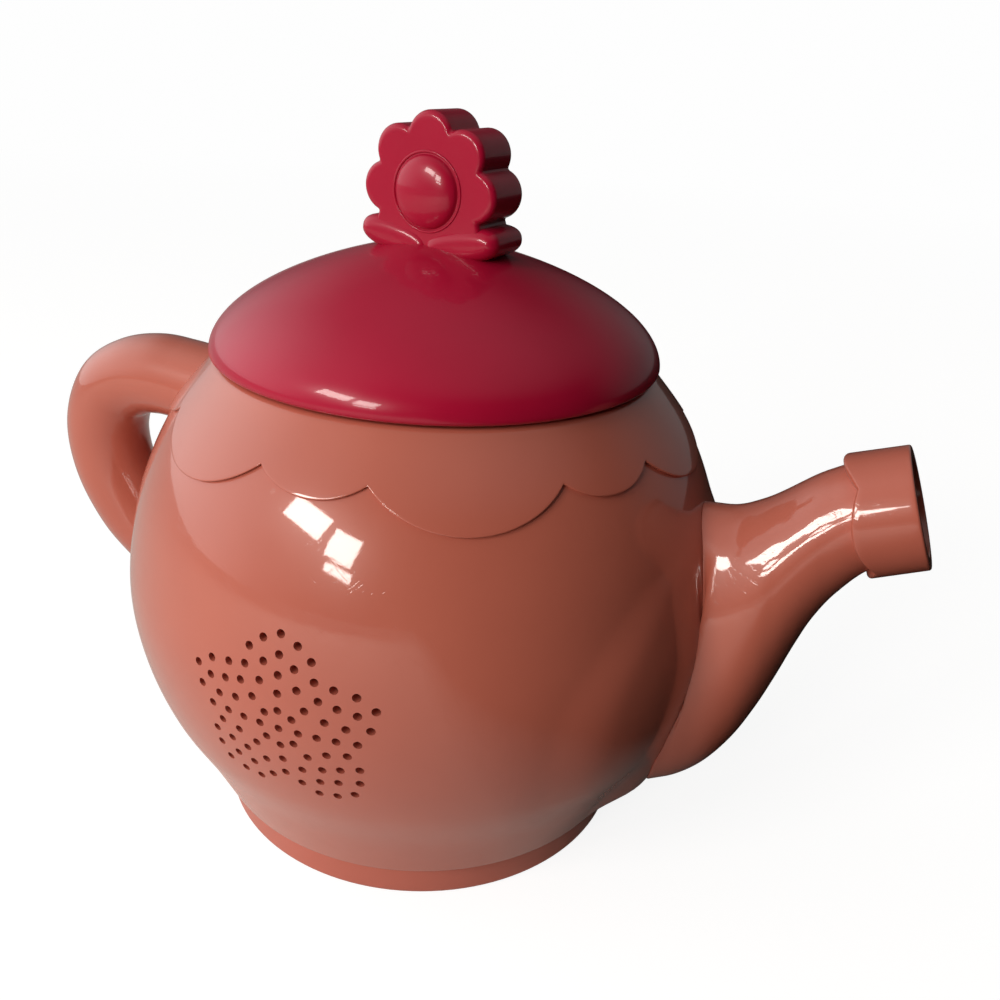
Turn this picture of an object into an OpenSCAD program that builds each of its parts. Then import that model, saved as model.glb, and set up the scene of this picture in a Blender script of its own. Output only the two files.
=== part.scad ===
// Toy teapot with a sound module: a round moulded pot, a loose lid with a flower knob,
// a plugged-in spout and handle, and a battery box in the base.
// Z is up, the floor is z = 0 and the pot's axis is the Z axis.
// The spout points along +X, the handle along -X and the speaker grille faces -Y.

/* [Body] */
// Largest radius of the pot, at the belly
belly_r = 64; // [58:0.5:72]
// Height of the pot's side, from the foot to the lid seat
body_h = 94.5; // [86:0.5:104]
// Thickness of the moulded shells
wall = 2.4; // [1.8:0.1:3]
// How far the shoulder collar stands proud of the pot
collar_step = 0.9; // [0.5:0.1:1.4]
// Depth of the tea well under the lid
cup_depth = 24; // [12:1:26]

/* [Base] */
// Height of the foot ring under the pot
foot_h = 8; // [7.5:0.5:11]
// Outer radius of the foot ring
foot_r = 45.9; // [44.5:0.1:47]
// Thickness of the base plate and of the battery door in it
plate_t = 2.5; // [2.2:0.1:3.2]
// Height of the plate's underside above the floor
plate_lift = 2.5; // [2:0.1:3.5]

/* [Lid] */
// Largest radius of the lid's rim
lid_r = 45.6; // [44.5:0.1:48]
// Height of the lid from its rim to its crown
lid_h = 23.5; // [20:0.5:27]
// Gap between the lid and the pot
lid_gap = 0.3; // [0.2:0.05:0.6]
// Depth of the lid's locating skirt
skirt_h = 6; // [4:0.5:9]

/* [Flower knob] */
// Distance from the flower's centre to the tip of a petal
flower_r = 14.6; // [12:0.2:17]
// Thickness of the flower from front to back
flower_t = 12; // [9:0.5:14]
// Number of petals
petals = 8; // [6:1:10]

/* [Spout] */
// Distance from the pot's side to the centre of the mouth
spout_reach = 36.6; // [32:0.2:42]
// Height of the mouth's centre above the floor
mouth_z = 88.6; // [84:0.2:94]
// Height of the lowest point of the spout's root
spout_low_z = 13; // [11:0.5:18]
// Upward tilt of the mouth in degrees
mouth_tilt = 21.5; // [15:0.5:28]
// Outer radius of the spout inside its cuff
spout_r = 10.1; // [9:0.1:11]
// Thickness of the spout's wall
spout_wall = 1.8; // [1.4:0.1:2.4]
// Length of the cuff round the mouth
cuff_len = 11.7; // [9:0.1:14]
// Outer radius of the cuff
cuff_r = 11.7; // [10.9:0.1:12.4]

/* [Handle] */
// How far the handle's centre line stands out from the pot's axis
handle_reach = 87.4; // [82:0.2:94]
// Height of the handle's upper limb
handle_top_z = 85.5; // [80:0.5:90]
// Height of the handle's lower end
handle_low_z = 33; // [28:0.5:38]
// Thickness of the handle's grip as a radius
grip_r = 9.4; // [8:0.1:11]

/* [Speaker] */
// Height of the speaker's axis and of the grille
speaker_z = 51.3; // [46:0.1:56]
// Outer radius of the speaker's frame
speaker_r = 20.4; // [19:0.1:22]
// Depth of the speaker's seat in from the belly's largest radius
seat_in = 8.5; // [7.5:0.1:12]
// Radius of one hole of the grille
hole_r = 0.8; // [0.6:0.05:1]
// Radius that the grille's flower pattern fills
grille_r = 19.4; // [17:0.1:20]

/* [Battery box] */
// Diameter of one battery
battery_d = 14.2; // [14:0.1:14.5]
// Length of one battery with its nub
battery_len = 50.2; // [49:0.1:50.5]
// Number of batteries
battery_n = 3; // [3:1:3]
// Distance between the batteries' axes
battery_pitch = 14.9; // [14.8:0.1:15]
// Thickness of the walls round the batteries
bay_wall = 1.8; // [1.4:0.1:2.2]

/* [Electronics] */
// Length of the circuit board
board_l = 56; // [52:1:60]
// Width of the circuit board
board_w = 42; // [38:1:44]
// Thickness of the circuit board
board_t = 1.6; // [1.2:0.1:2]
// Height of the board's underside over the battery box
board_lift = 5; // [4:0.5:8]
// Radius of the steel ball in the tilt switch
ball_r = 2; // [1.6:0.1:2.2]
// How far the ball rolls
ball_travel = 5; // [3:0.5:6]
// Travel of the power switch
slide_travel = 4; // [3:0.5:4.5]

/* [Hidden] */
$fn = 96;

// Colours of the mouldings
clay = "#C8735F";
clay_deep = "#B85A4E";
crimson = "#B2203A";

// One overrun for every cut
over = 1;
// Clearance of a piece that is pressed or laid in its seat
seat_gap = 0.2;
// Clearance of the spout and handle ends against the pot
joint_gap = 0.1;
// Faces on a moulding's round edge
edge_steps = 6;

// Outline of the pot: radius at equal steps of height, as shares of the belly's radius
belly_shares = [0.75, 0.834, 0.925, 0.98, 1, 0.9775, 0.926, 0.833, 0.68];
// Steps of height along the pot's outline
belly_steps = 30;
body_z0 = foot_h;
body_z1 = foot_h + body_h;

function catmull(a, b, c, d, t) =
    0.5 * (2 * b + (c - a) * t + (2 * a - 5 * b + 4 * c - d) * t * t
        + (3 * b - a - 3 * c + d) * t * t * t);
function share_at(list, i) =
    i < 0 ? 2 * list[0] - list[1]
    : i >= len(list) ? 2 * list[len(list) - 1] - list[len(list) - 2]
    : list[i];
function smooth_share(list, f) =
    let (s = f * (len(list) - 1), i = max(0, min(len(list) - 2, floor(s))))
    catmull(share_at(list, i - 1), share_at(list, i), share_at(list, i + 1), share_at(list, i + 2), s - i);
function body_r(z) = belly_r * smooth_share(belly_shares, (z - body_z0) / body_h);
function mix(a, b, t) = a + (b - a) * t;

// Stack of heights at the lid seat
flange_t = 1.5;
cap_t = 0.9;
collar_top_z = body_z1 - seat_gap;
flange_z = collar_top_z - cap_t - flange_t;
shell_lip_t = 2.4;

// Tea well
cup_r = 40;
cup_wall = 1.6;
cup_bottom_r = 36;
cup_floor_z = collar_top_z - cup_depth;

// Inside radius of the pot's lips
neck_r = cup_r + 0.3 * cup_wall;
foot_lip_r = foot_r - 0.8 * wall;

// Scallops of the collar, one large and one small lobe in every sixth of the turn
lobes = 6;
cusp_drop = 8.5;
cusp_z = body_z1 - cusp_drop;
big_lobe_half = 18.7;
small_lobe_half = 360 / lobes / 2 - big_lobe_half;
big_lobe_drop = 6.3;
small_lobe_drop = 3;

// Swelling of the pot under the spout's root
swell_r = 25.5;
swell_in = 28;
swell_up = 16.5;
swell_x = belly_r - swell_in;
swell_z = spout_low_z + swell_up;

// Screw posts that hold the base
post_r = 4;
post_at = 38;
post_angles = [60, 120];
post_h = 16;
post_top_z = foot_h + post_h;
post_rib_t = 2.4;
post_rib_h = 12;
screw_pilot_r = 1.25;
screw_clear_r = 1.7;
screw_head_r = 2.9;
screw_head_h = 1.8;
screw_hold = 9;

// Base and battery box
plate_z = plate_lift;
plate_top_z = plate_lift + plate_t;
foot_ring_t = 3.4;
foot_edge = 1.2;
foot_bore_r = foot_r - foot_ring_t;
battery_gap = 0.35;
battery_z = plate_top_z + battery_gap + battery_d / 2;
bay_roof_z = battery_z + battery_d / 2 + battery_gap;
spring_len = 6;
contact_t = 0.4;
bay_half_x = battery_len / 2 + spring_len / 2 + contact_t + seat_gap;
bay_half_y = battery_n * battery_pitch / 2 + battery_gap;
bay_top_z = bay_roof_z + bay_wall;

// Battery door, with a barrel and two pins at one end and a screw tab at the other
door_gap = 0.35;
pin_r = 0.9;
pin_gap = 0.06;
pin_len = 2.4;
barrel_r = plate_t / 2;
barrel_x = -(bay_half_x - barrel_r);
barrel_z = plate_z + plate_t / 2;
door_end_x = bay_half_x;
door_half_y = bay_half_y - door_gap;
tab_half_y = 5;
tab_len = 5.6;
door_screw_out = 2.6;
door_screw_x = door_end_x + door_screw_out;
door_screw_r = 1.2;
door_screw_head_r = 2.2;
door_screw_head_h = 1.2;
door_screw_hold = 4;
insert_r = 3;
insert_gap = 0.4;
insert_bore_r = door_screw_r + insert_gap;
insert_h = 7;

// Power switch behind the battery box
switch_y = 33.2;
switch_l = 13;
switch_w = 7;
switch_h = 6;
switch_wall = 1;
slot_w = 3.6;
slider_w = 3;
slider_l = 3.4;
slider_shoe_l = 5;
slider_shoe_w = 4.2;
slider_shoe_h = 2;

// Circuit board
board_z = bay_top_z + board_lift;
board_top_z = board_z + board_t;
board_post_r = 3;
board_pilot_r = 0.9;
board_screw_r = 1;
board_screw_head_r = 2;
board_screw_head_h = 1.2;
board_edge = 4;

// Tilt switch, a tube that lies along X on the board
tilt_wall = 0.8;
tilt_gap = 0.3;
tilt_r = ball_r + tilt_gap + tilt_wall;
tilt_y = 10;
tilt_len = 2 * ball_r + ball_travel + 2 * tilt_gap + 2 * tilt_wall;
tilt_z = board_top_z + tilt_r;

// Speaker
seat_wall = 2.6;
gasket_t = 0.6;
frame_t = 1.2;
basket_len = 9;
magnet_r = 11;
magnet_len = 6.5;
cone_t = 0.5;
speaker_post_r = 2.7;
speaker_post_out = 3;
speaker_post_at = speaker_r + speaker_post_out;
speaker_screw_r = 1.1;
speaker_screw_head_r = 3.2;
speaker_screw_head_h = 1.4;
speaker_screw_len = 2.6;
seat_y = belly_r - seat_in;
frame_y = seat_y - gasket_t;
basket_y = frame_y - frame_t;
magnet_y = basket_y - basket_len;

// Grille rings, each as a share of the pattern's radius, its first angle, its spread and its count
grille_ring_shares = [
    [0, 0, 0, 1], [0.196, 0, 0, 8], [0.374, 0, 0, 8], [0.49, 22.5, 0, 8], [0.554, 0, 0, 8],
    [0.665, 0, 13.4, 8], [0.747, 0, 0, 8], [0.809, 22.5, 0, 8], [0.881, 0, 11.2, 8],
    [0.938, 0, 0, 8], [0.979, 22.5, 0, 8]
];
// Outline of the grille's five petals: reach at angles away from a petal's middle
petal_turn_shares = [[0, 1], [10, 0.97], [20, 0.91], [32, 0.825], [36, 0.74]];
grille_petals = 5;

// Spout: top and bottom outline and half width of each section behind the cuff.
// Each row holds the top point, the bottom point and the half width; x is a share of the reach,
// z is a share of the height from the root's lowest point to the mouth's centre.
spout_section_shares = [
    [[0.068, 0.903], [0.03, 0.05], 1.04],
    [[0.137, 0.911], [0.178, 0.125], 1.055],
    [[0.205, 0.927], [0.309, 0.231], 1.04],
    [[0.273, 0.947], [0.404, 0.344], 0.99],
    [[0.342, 0.973], [0.475, 0.45], 0.91],
    [[0.41, 1.001], [0.544, 0.566], 0.83],
    [[0.478, 1.028], [0.607, 0.655], 0.77],
    [[0.546, 1.05], [0.7, 0.741], 0.72]
];
root_half_y = 14.6;
root_h = 68;
root_top_z = spout_low_z + root_h;
spout_sides = 28;
spout_sink = 3;
spout_x0 = belly_r - spout_sink;
spout_end_back = 2;
mouth_x = spout_x0 + spout_reach;
cuff_fit = 0.1;
cuff_lobes = 4;
cuff_drop = 2.2;
cuff_lip = 1.5;
cuff_flare = 0.3;
mouth_lip = 0.8;
mouth_bore_r = spout_r - mouth_lip;
spout_screw_z = [38, 66];
spout_post_r = 3;
spout_post_len = 8;
spout_rib_t = 2.6;
spout_rib_half = [13, 11.9];
spout_rib_len = 3;

// Handle: places along the centre line, x as a share of the reach, z as a share of the height
// between the two ends, and the radius as a share of the grip
handle_line_shares = [
    [0.709, 1.015, 1], [0.795, 1.02, 1], [0.881, 0.99, 0.98], [0.957, 0.905, 0.98],
    [0.998, 0.73, 1], [0.985, 0.53, 1], [0.93, 0.345, 0.98], [0.864, 0.225, 0.95], [0.796, 0.133, 0.91]
];
// Slope of the handle's two limbs where they run into the pot, in degrees
handle_top_slope = -5;
handle_low_slope = -20;
handle_steps = 22;
handle_arc = 12;
handle_wall = 2.2;
collar_run = 2.2;
plug_steps = 2;
plug_bore_r = 1.2;
plug_rings = 4;
lug_r = 4;
lug_len = 7;
lug_drop = 2.2;
lug_z = [handle_low_z, handle_top_z - lug_drop];

// Flower knob
petal_r = flower_r * 0.324;
petal_at = flower_r - petal_r;
petal_steps = 10;
flower_edge = 1.3;
flower_sink = 5.6;
disc_r = flower_r * 0.52;
disc_seat = 0.6;
disc_lip = 0.9;
dome_r = flower_r * 0.45;
dome_rise = 3.2;
leaf_steps = 24;
leaf_len = 16.2;
leaf_h = 6.6;
leaf_x = 7.4;
leaf_drop = 0.2;
leaf_turn = 10;
leaf_proud = 0.6;
pocket_r = 5.5;
pocket_up = 3;
pocket_wall = 2;
knob_boss_r = 4.6;
knob_boss_h = 2;
knob_pilot_r = 1.05;
knob_clear_r = 1.5;
knob_screw_head_r = 3;
knob_screw_head_h = 1.6;
knob_hold = 5;
// Turn of the knob about the lid's axis, in degrees
knob_turn = -8;

// Lid
lid_wall = 2.4;
lid_roll_h = 1.3;
lid_roll_w = 2.6;
// How the dome fills the rectangle round it: across and up
dome_across_power = 1.5;
dome_up_power = 1.09;
rim_z = collar_top_z + lid_gap;
crown_z = rim_z + lid_h;
skirt_wall = 1.8;
skirt_gap = 0.4;
skirt_r = cup_r - cup_wall - skirt_gap;
flower_z = crown_z - flower_sink + flower_r;

// Wires
wire_r = 0.6;
wire_sides = 8;
terminal_half = 4;
terminal_out = 2;
terminal_t = 1.2;

// Closed skin over loops of points; the loops run round the form in one sense. An open skin's flat
// ends are fans about their middles, or the triangles that are given as places in a loop.
function loop_middle(loop) = [for (p = loop) 1] * loop / len(loop);
module skin(loops, closed, ends = []) {
    n = len(loops);
    m = len(loops[0]);
    last = (n - 1) * m;
    sides = [
        for (i = [0:n - (closed ? 1 : 2)], j = [0:m - 1], half = [0, 1])
        let (a = i * m, b = ((i + 1) % n) * m, k = (j + 1) % m)
        half == 0 ? [a + j, b + j, b + k] : [a + j, b + k, a + k]
    ];
    fans = [for (j = [0:m - 1]) let (k = (j + 1) % m) each [[j, k, n * m], [last + k, last + j, n * m + 1]]];
    caps = closed ? []
        : len(ends) == 0 ? fans
        : [for (t = ends) each [t, [last + t[2], last + t[1], last + t[0]]]];
    middles = closed || len(ends) > 0 ? [] : [loop_middle(loops[0]), loop_middle(loops[n - 1])];
    polyhedron(
        points = concat([for (loop = loops) each loop], middles),
        faces = concat(sides, caps),
        convexity = 8
    );
}

// Round section in the plane that stands across a path
function across(a, b) = let (d = b - a) d / norm(d);
function frame_up(t) = abs(t[2]) > 0.9 ? [1, 0, 0] : [0, 0, 1];
function wire_ring(c, t, r) =
    let (u = cross(t, frame_up(t)), un = u / norm(u), v = cross(t, un))
    [for (k = [0:wire_sides - 1]) c + r * (cos(360 * k / wire_sides) * un + sin(360 * k / wire_sides) * v)];
function path_tangent(p, i) = across(p[max(0, i - 1)], p[min(len(p) - 1, i + 1)]);
function curve_point(p, s) =
    let (i = max(0, min(len(p) - 2, floor(s))), t = s - i,
        a = i == 0 ? 2 * p[0] - p[1] : p[i - 1],
        d = i + 2 >= len(p) ? 2 * p[len(p) - 1] - p[len(p) - 2] : p[i + 2])
    catmull(a, p[i], p[i + 1], d, t);
function curve(p, steps) = [for (k = [0:steps]) curve_point(p, (len(p) - 1) * k / steps)];

module wire(points, steps) {
    path = curve(points, steps);
    skin([for (i = [0:len(path) - 1]) wire_ring(path[i], path_tangent(path, i), wire_r)], false);
}

// Solid of revolution inside the pot's outline, moved in by inset
module pot_core(inset, z0, z1, turn = 360) {
    rotate([0, 0, 180])
        rotate_extrude(angle = turn)
            polygon([
                [0, z0],
                for (k = [0:belly_steps]) let (z = mix(z0, z1, k / belly_steps)) [body_r(z) - inset, z],
                [0, z1]
            ]);
}

// Hollow of the pot, open at the foot and at the neck
module pot_hollow() {
    inner_z0 = body_z0 + shell_lip_t;
    inner_z1 = flange_z - shell_lip_t;
    rotate([0, 0, 90])
        rotate_extrude()
            polygon([
                [0, body_z0 - over],
                [foot_lip_r, body_z0 - over],
                [foot_lip_r, inner_z0],
                for (k = [0:belly_steps])
                    let (z = mix(inner_z0, inner_z1, k / belly_steps)) [body_r(z) - wall, z],
                [neck_r, inner_z1],
                [neck_r, flange_z + over],
                [0, flange_z + over]
            ]);
}

// Half of the pot's shell, on the side of -Y
module shell_half() {
    difference() {
        union() {
            pot_core(0, body_z0, flange_z, 180);
            spout_swell();
        }
        pot_hollow();
    }
}

// Screw post of the base on the side of -Y, with its rib to the pot's lower lip
module base_posts() {
    for (a = post_angles) {
        rotate([0, 0, -a]) {
            translate([post_at, 0, plate_top_z])
                cylinder(r = post_r, h = post_top_z - plate_top_z);
            translate([post_at, -post_rib_t / 2, body_z0])
                cube([foot_lip_r + wall / 2 - post_at, post_rib_t, post_rib_h]);
        }
    }
}

module base_post_bores() {
    for (a = post_angles)
        rotate([0, 0, -a])
            translate([post_at, 0, plate_top_z - over])
                cylinder(r = screw_pilot_r, h = screw_hold + 2 * over);
}

// Swelling that carries the pot's side out to the spout's root, on the side of -Y
module spout_swell() {
    intersection() {
        translate([swell_x, 0, swell_z])
            sphere(r = swell_r);
        translate([swell_x, -swell_r - over, body_z0])
            cube([swell_r + over, swell_r + over, swell_z + swell_r]);
    }
}

// Holes on the parting line for the spout's screws and the handle's lugs
module parting_holes() {
    for (z = spout_screw_z)
        translate([body_r(z) - swell_r / 2, 0, z])
            rotate([0, 90, 0])
                rotate([0, 0, 45])
                    cylinder(r = screw_clear_r, h = swell_r);
    for (z = lug_z)
        translate([-body_r(z) - lug_len, 0, z])
            rotate([0, 90, 0])
                rotate([0, 0, 45])
                    cylinder(r = lug_r + seat_gap, h = 2 * lug_len);
}

function petal_reach(a) =
    let (step = 360 / grille_petals, d = abs(((a - 90) % step + 1.5 * step) % step - step / 2))
    lookup(d, petal_turn_shares);
grille_holes = [
    for (ring = grille_ring_shares, k = [0:ring[3] - 1], side = ring[2] == 0 ? [0] : [-1, 1])
    let (a = ring[1] + 360 * k / ring[3] + side * ring[2], r = ring[0] * grille_r)
    if (ring[0] <= petal_reach(a)) [r * cos(a), r * sin(a)]
];

module grille_bores() {
    for (p = grille_holes)
        translate([p[0], 0, speaker_z + p[1]])
            rotate([90, 0, 0])
                translate([0, 0, seat_y])
                    cylinder(r = hole_r, h = belly_r - seat_y + over, $fn = 16);
}

// Ring and posts behind the grille that carry the speaker
module speaker_seat() {
    intersection() {
        translate([0, 0, speaker_z])
            rotate([90, 0, 0])
                difference() {
                    union() {
                        translate([0, 0, seat_y])
                            cylinder(r = speaker_r + 0.2 * seat_wall, h = belly_r - seat_y);
                        for (a = [90, 210, 330])
                            rotate([0, 0, a])
                                translate([speaker_post_at, 0, basket_y])
                                    cylinder(r = speaker_post_r, h = belly_r - basket_y);
                    }
                    translate([0, 0, seat_y - over])
                        cylinder(r = speaker_r - 0.8 * seat_wall, h = belly_r - seat_y + 2 * over);
                }
        pot_core(wall / 2, body_z0, flange_z, 180);
    }
}

// Bores for the speaker's three screws
module speaker_pilots() {
    for (a = [90, 210, 330])
        translate([speaker_post_at * cos(a), over - basket_y, speaker_z + speaker_post_at * sin(a)])
            rotate([90, 0, 0])
                cylinder(r = speaker_screw_r, h = speaker_screw_len + over);
}

module body_front() {
    color(clay)
        difference() {
            union() {
                shell_half();
                base_posts();
                speaker_seat();
            }
            base_post_bores();
            parting_holes();
            speaker_pilots();
            grille_bores();
        }
}

module body_rear() {
    color(clay)
        difference() {
            mirror([0, 1, 0])
                union() {
                    shell_half();
                    base_posts();
                }
            mirror([0, 1, 0])
                base_post_bores();
            parting_holes();
        }
}

// Bar along X through the pot's side whose round outline is one scallop
module scallop(half_angle, drop) {
    reach = body_r(cusp_z);
    half = reach * sin(half_angle);
    r = (half * half + drop * drop) / (2 * drop);
    translate([reach / 2, 0, cusp_z - drop + r])
        rotate([0, 90, 0])
            cylinder(r = r, h = belly_r);
}

module collar() {
    low_z = cusp_z - big_lobe_drop - over;
    color(clay)
        intersection() {
            rotate_extrude()
                polygon([
                    for (k = [0:belly_steps / 2])
                        let (z = mix(low_z, collar_top_z, 2 * k / belly_steps)) [body_r(z) + collar_step, z],
                    [cup_r - cup_wall + seat_gap, collar_top_z],
                    [cup_r - cup_wall + seat_gap, collar_top_z - cap_t],
                    for (k = [belly_steps / 2:-1:0])
                        let (z = mix(low_z, collar_top_z - cap_t, 2 * k / belly_steps)) [body_r(z), z]
                ]);
            union() {
                translate([0, 0, cusp_z])
                    cylinder(r = belly_r, h = body_h);
                for (k = [0:lobes - 1]) {
                    rotate([0, 0, k * 360 / lobes])
                        scallop(big_lobe_half, big_lobe_drop);
                    rotate([0, 0, (k + 0.5) * 360 / lobes])
                        scallop(small_lobe_half, small_lobe_drop);
                }
            }
        }
}

// Battery opening in the base plate, with the notch for the door's screw tab
module door_opening(gap, z, h) {
    translate([barrel_x - barrel_r - gap, -door_half_y - gap, z])
        cube([door_end_x - barrel_x + barrel_r + 2 * gap, 2 * (door_half_y + gap), h]);
    translate([0, -tab_half_y - gap, z])
        cube([door_end_x + tab_len + gap, 2 * (tab_half_y + gap), h]);
}

module base() {
    color(clay_deep)
        difference() {
            union() {
                rotate_extrude()
                    polygon([
                        [foot_bore_r, 0],
                        for (k = [0:edge_steps])
                            let (a = 90 * k / edge_steps)
                                [foot_r - foot_edge * (1 - sin(a)), foot_edge * (1 - cos(a))],
                        [foot_r, foot_h],
                        [foot_bore_r, foot_h]
                    ]);
                translate([0, 0, plate_z])
                    cylinder(r = foot_bore_r + seat_gap, h = plate_t);
                translate([-bay_half_x - bay_wall, -bay_half_y - bay_wall, plate_z])
                    cube([2 * (bay_half_x + bay_wall), 2 * (bay_half_y + bay_wall), bay_top_z - plate_z]);
                translate([door_screw_x, 0, plate_top_z + door_gap])
                    cylinder(r = insert_r, h = insert_h);
                for (x = [-1, 1], y = [-1, 1])
                    translate([x * (board_l / 2 - board_edge), y * (board_w / 2 - board_edge), bay_roof_z])
                        cylinder(r = board_post_r, h = board_z - bay_roof_z);
            }
            door_opening(door_gap, plate_z - over, plate_t + over);
            translate([-bay_half_x, -bay_half_y, plate_z - over])
                cube([2 * bay_half_x, 2 * bay_half_y, bay_roof_z - plate_z + over]);
            translate([barrel_x, 0, barrel_z])
                rotate([90, 0, 0])
                    cylinder(r = pin_r + pin_gap, h = 2 * (door_half_y + pin_len + seat_gap), center = true);
            translate([door_screw_x, 0, plate_top_z])
                cylinder(r = insert_bore_r, h = door_screw_hold + over);
            for (a = post_angles, s = [-1, 1])
                rotate([0, 0, s * a])
                    translate([post_at, 0, plate_z - over]) {
                        cylinder(r = screw_clear_r, h = plate_t + 2 * over);
                        cylinder(r = screw_head_r + seat_gap, h = plate_t / 2 + over);
                    }
            translate([-(slider_l + slide_travel) / 2 - seat_gap, switch_y - slot_w / 2, plate_z - over])
                cube([slider_l + slide_travel + 2 * seat_gap, slot_w, plate_t + 2 * over]);
            for (x = [-1, 1], y = [-1, 1])
                translate([x * (board_l / 2 - board_edge), y * (board_w / 2 - board_edge), bay_top_z])
                    cylinder(r = board_pilot_r, h = board_lift + over);
        }
}

// Handle: centre line, radius and the rings of its outer and inner skin
function handle_place(s) =
    let (n = len(handle_line_shares) - 1, i = max(0, min(n - 1, floor(s * n))), t = s * n - i,
        p = handle_line_shares,
        a = i == 0 ? 2 * p[0] - p[1] : p[i - 1],
        d = i + 2 > n ? 2 * p[n] - p[n - 1] : p[i + 2],
        q = catmull(a, p[i], p[i + 1], d, t))
    [-q[0] * handle_reach, mix(handle_low_z, handle_top_z, q[1]), q[2] * grip_r];
// Angle of the ring at s, square to the centre line
function handle_lean(s) =
    let (a = handle_place(max(0, s - 0.02)), b = handle_place(min(1, s + 0.02)),
        lean = atan2(b[1] - a[1], b[0] - a[0]) + 90)
    lean < 0 ? lean + 360 : lean;
function handle_point(s, a, r) =
    let (p = handle_place(s), lean = handle_lean(s))
    [p[0] + r * cos(a) * cos(lean), -r * sin(a), p[1] + r * cos(a) * sin(lean)];

// Where a straight line from p along d meets the pot's side or its collar
function pot_gap(p) =
    let (rise = (p[2] - cusp_z + big_lobe_drop) / collar_run + 1)
    norm([p[0], p[1]]) - body_r(p[2]) - joint_gap - collar_step * max(0, min(1, rise));
function to_pot(p, d, near, far, turns) =
    let (mid = (near + far) / 2)
    turns == 0 ? p + mid * d
    : pot_gap(p + mid * d) > 0 ? to_pot(p, d, mid, far, turns - 1)
    : to_pot(p, d, near, mid, turns - 1);
function handle_end(s, a, share) =
    let (slope = s == 0 ? handle_top_slope : handle_low_slope,
        r = mix(plug_bore_r, handle_place(s)[2], share))
    to_pot(handle_point(s, a, r), [cos(slope), 0, sin(slope)], 0, handle_reach / 2, 24);
function handle_r(i) = handle_place(i / handle_steps)[2];
// Inside radius of the tube, which is narrow in the solid plug at each end
function handle_bore(i) =
    i < plug_steps || i > handle_steps - plug_steps ? plug_bore_r : handle_r(i) - handle_wall;

// Triangles of the flat strip between the bore's line and the outer line
function handle_skin_at(i) = 2 * handle_steps + plug_rings + 3 - i;
handle_strip = concat(
    [
        for (i = [0:handle_steps - 1])
        each [
            [i + 1, i + 2, handle_skin_at(i + 1)],
            [i + 1, handle_skin_at(i + 1), handle_skin_at(i)]
        ]
    ],
    [for (k = [0:plug_rings]) [handle_steps + 1, handle_steps + 2 + k, handle_steps + 3 + k]],
    [for (k = [0:plug_rings]) let (m = 2 * (handle_steps + plug_rings + 2)) [1, m - k - 1, (m - k) % m]]
);

// Half of the hollow handle, on the side of -Y, with half of the lugs that enter the pot
module handle_half() {
    skin([
        for (j = [0:handle_arc])
        let (a = 180 * j / handle_arc)
        concat(
            [handle_end(0, a, 0)],
            [for (i = [0:handle_steps]) handle_point(i / handle_steps, a, handle_bore(i))],
            [for (k = [0:plug_rings]) handle_end(1, a, k / plug_rings)],
            [for (i = [handle_steps:-1:0]) handle_point(i / handle_steps, a, handle_r(i))],
            [for (k = [plug_rings:-1:1]) handle_end(0, a, k / plug_rings)]
        )
    ], false, handle_strip);
    for (z = lug_z)
        intersection() {
            translate([-body_r(z) - lug_len / 2, 0, z])
                rotate([0, 90, 0])
                    cylinder(r = lug_r, h = 1.5 * lug_len);
            translate([-2 * belly_r, -2 * lug_r - joint_gap, 0])
                cube([2 * belly_r, 2 * lug_r, body_z1]);
        }
}

module handle_front() {
    color(clay)
        handle_half();
}

module handle_rear() {
    color(clay)
        mirror([0, 1, 0])
            handle_half();
}

// Spout: axis of the mouth and the sections along it
mouth_dir = [cos(mouth_tilt), 0, sin(mouth_tilt)];
mouth_up = [-sin(mouth_tilt), 0, cos(mouth_tilt)];
mouth = [mouth_x, 0, mouth_z];
function side_step(a, half, up, u) = [up[0] * u * sin(a), half * cos(a), up[2] * u * sin(a)];
function swell_reach(y, z) =
    let (d = swell_r * swell_r - (z - swell_z) * (z - swell_z) - y * y)
    d > 0 ? swell_x + sqrt(d) : 0;
function pot_reach(y, z) = max(sqrt(body_r(z) * body_r(z) - y * y), swell_reach(y, z));
function spout_root(a, inset) =
    let (z = mix(spout_low_z, root_top_z, 0.5) + ((root_top_z - spout_low_z) / 2 - inset) * sin(a),
        y = (root_half_y - inset) * cos(a))
    [pot_reach(y, z) + joint_gap, y, z];
function spout_section(row, a, inset) =
    let (top = [spout_x0 + row[0][0] * spout_reach, 0, mix(spout_low_z, mouth_z, row[0][1])],
        low = [spout_x0 + row[1][0] * spout_reach, 0, mix(spout_low_z, mouth_z, row[1][1])],
        mid = (top + low) / 2, up = (top - low) / norm(top - low))
    mid + side_step(a, row[2] * root_half_y - inset, up, norm(top - low) / 2 - inset);
function spout_round(back, a, r) =
    mouth - back * mouth_dir + r * (cos(a) * [0, 1, 0] + sin(a) * mouth_up);
function spout_line(a, inset, bore) = concat(
    [spout_root(a, inset)],
    [for (row = spout_section_shares) spout_section(row, a, inset)],
    [spout_round(cuff_len, a, spout_r - inset), spout_round(spout_end_back, a, bore)]
);

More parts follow.
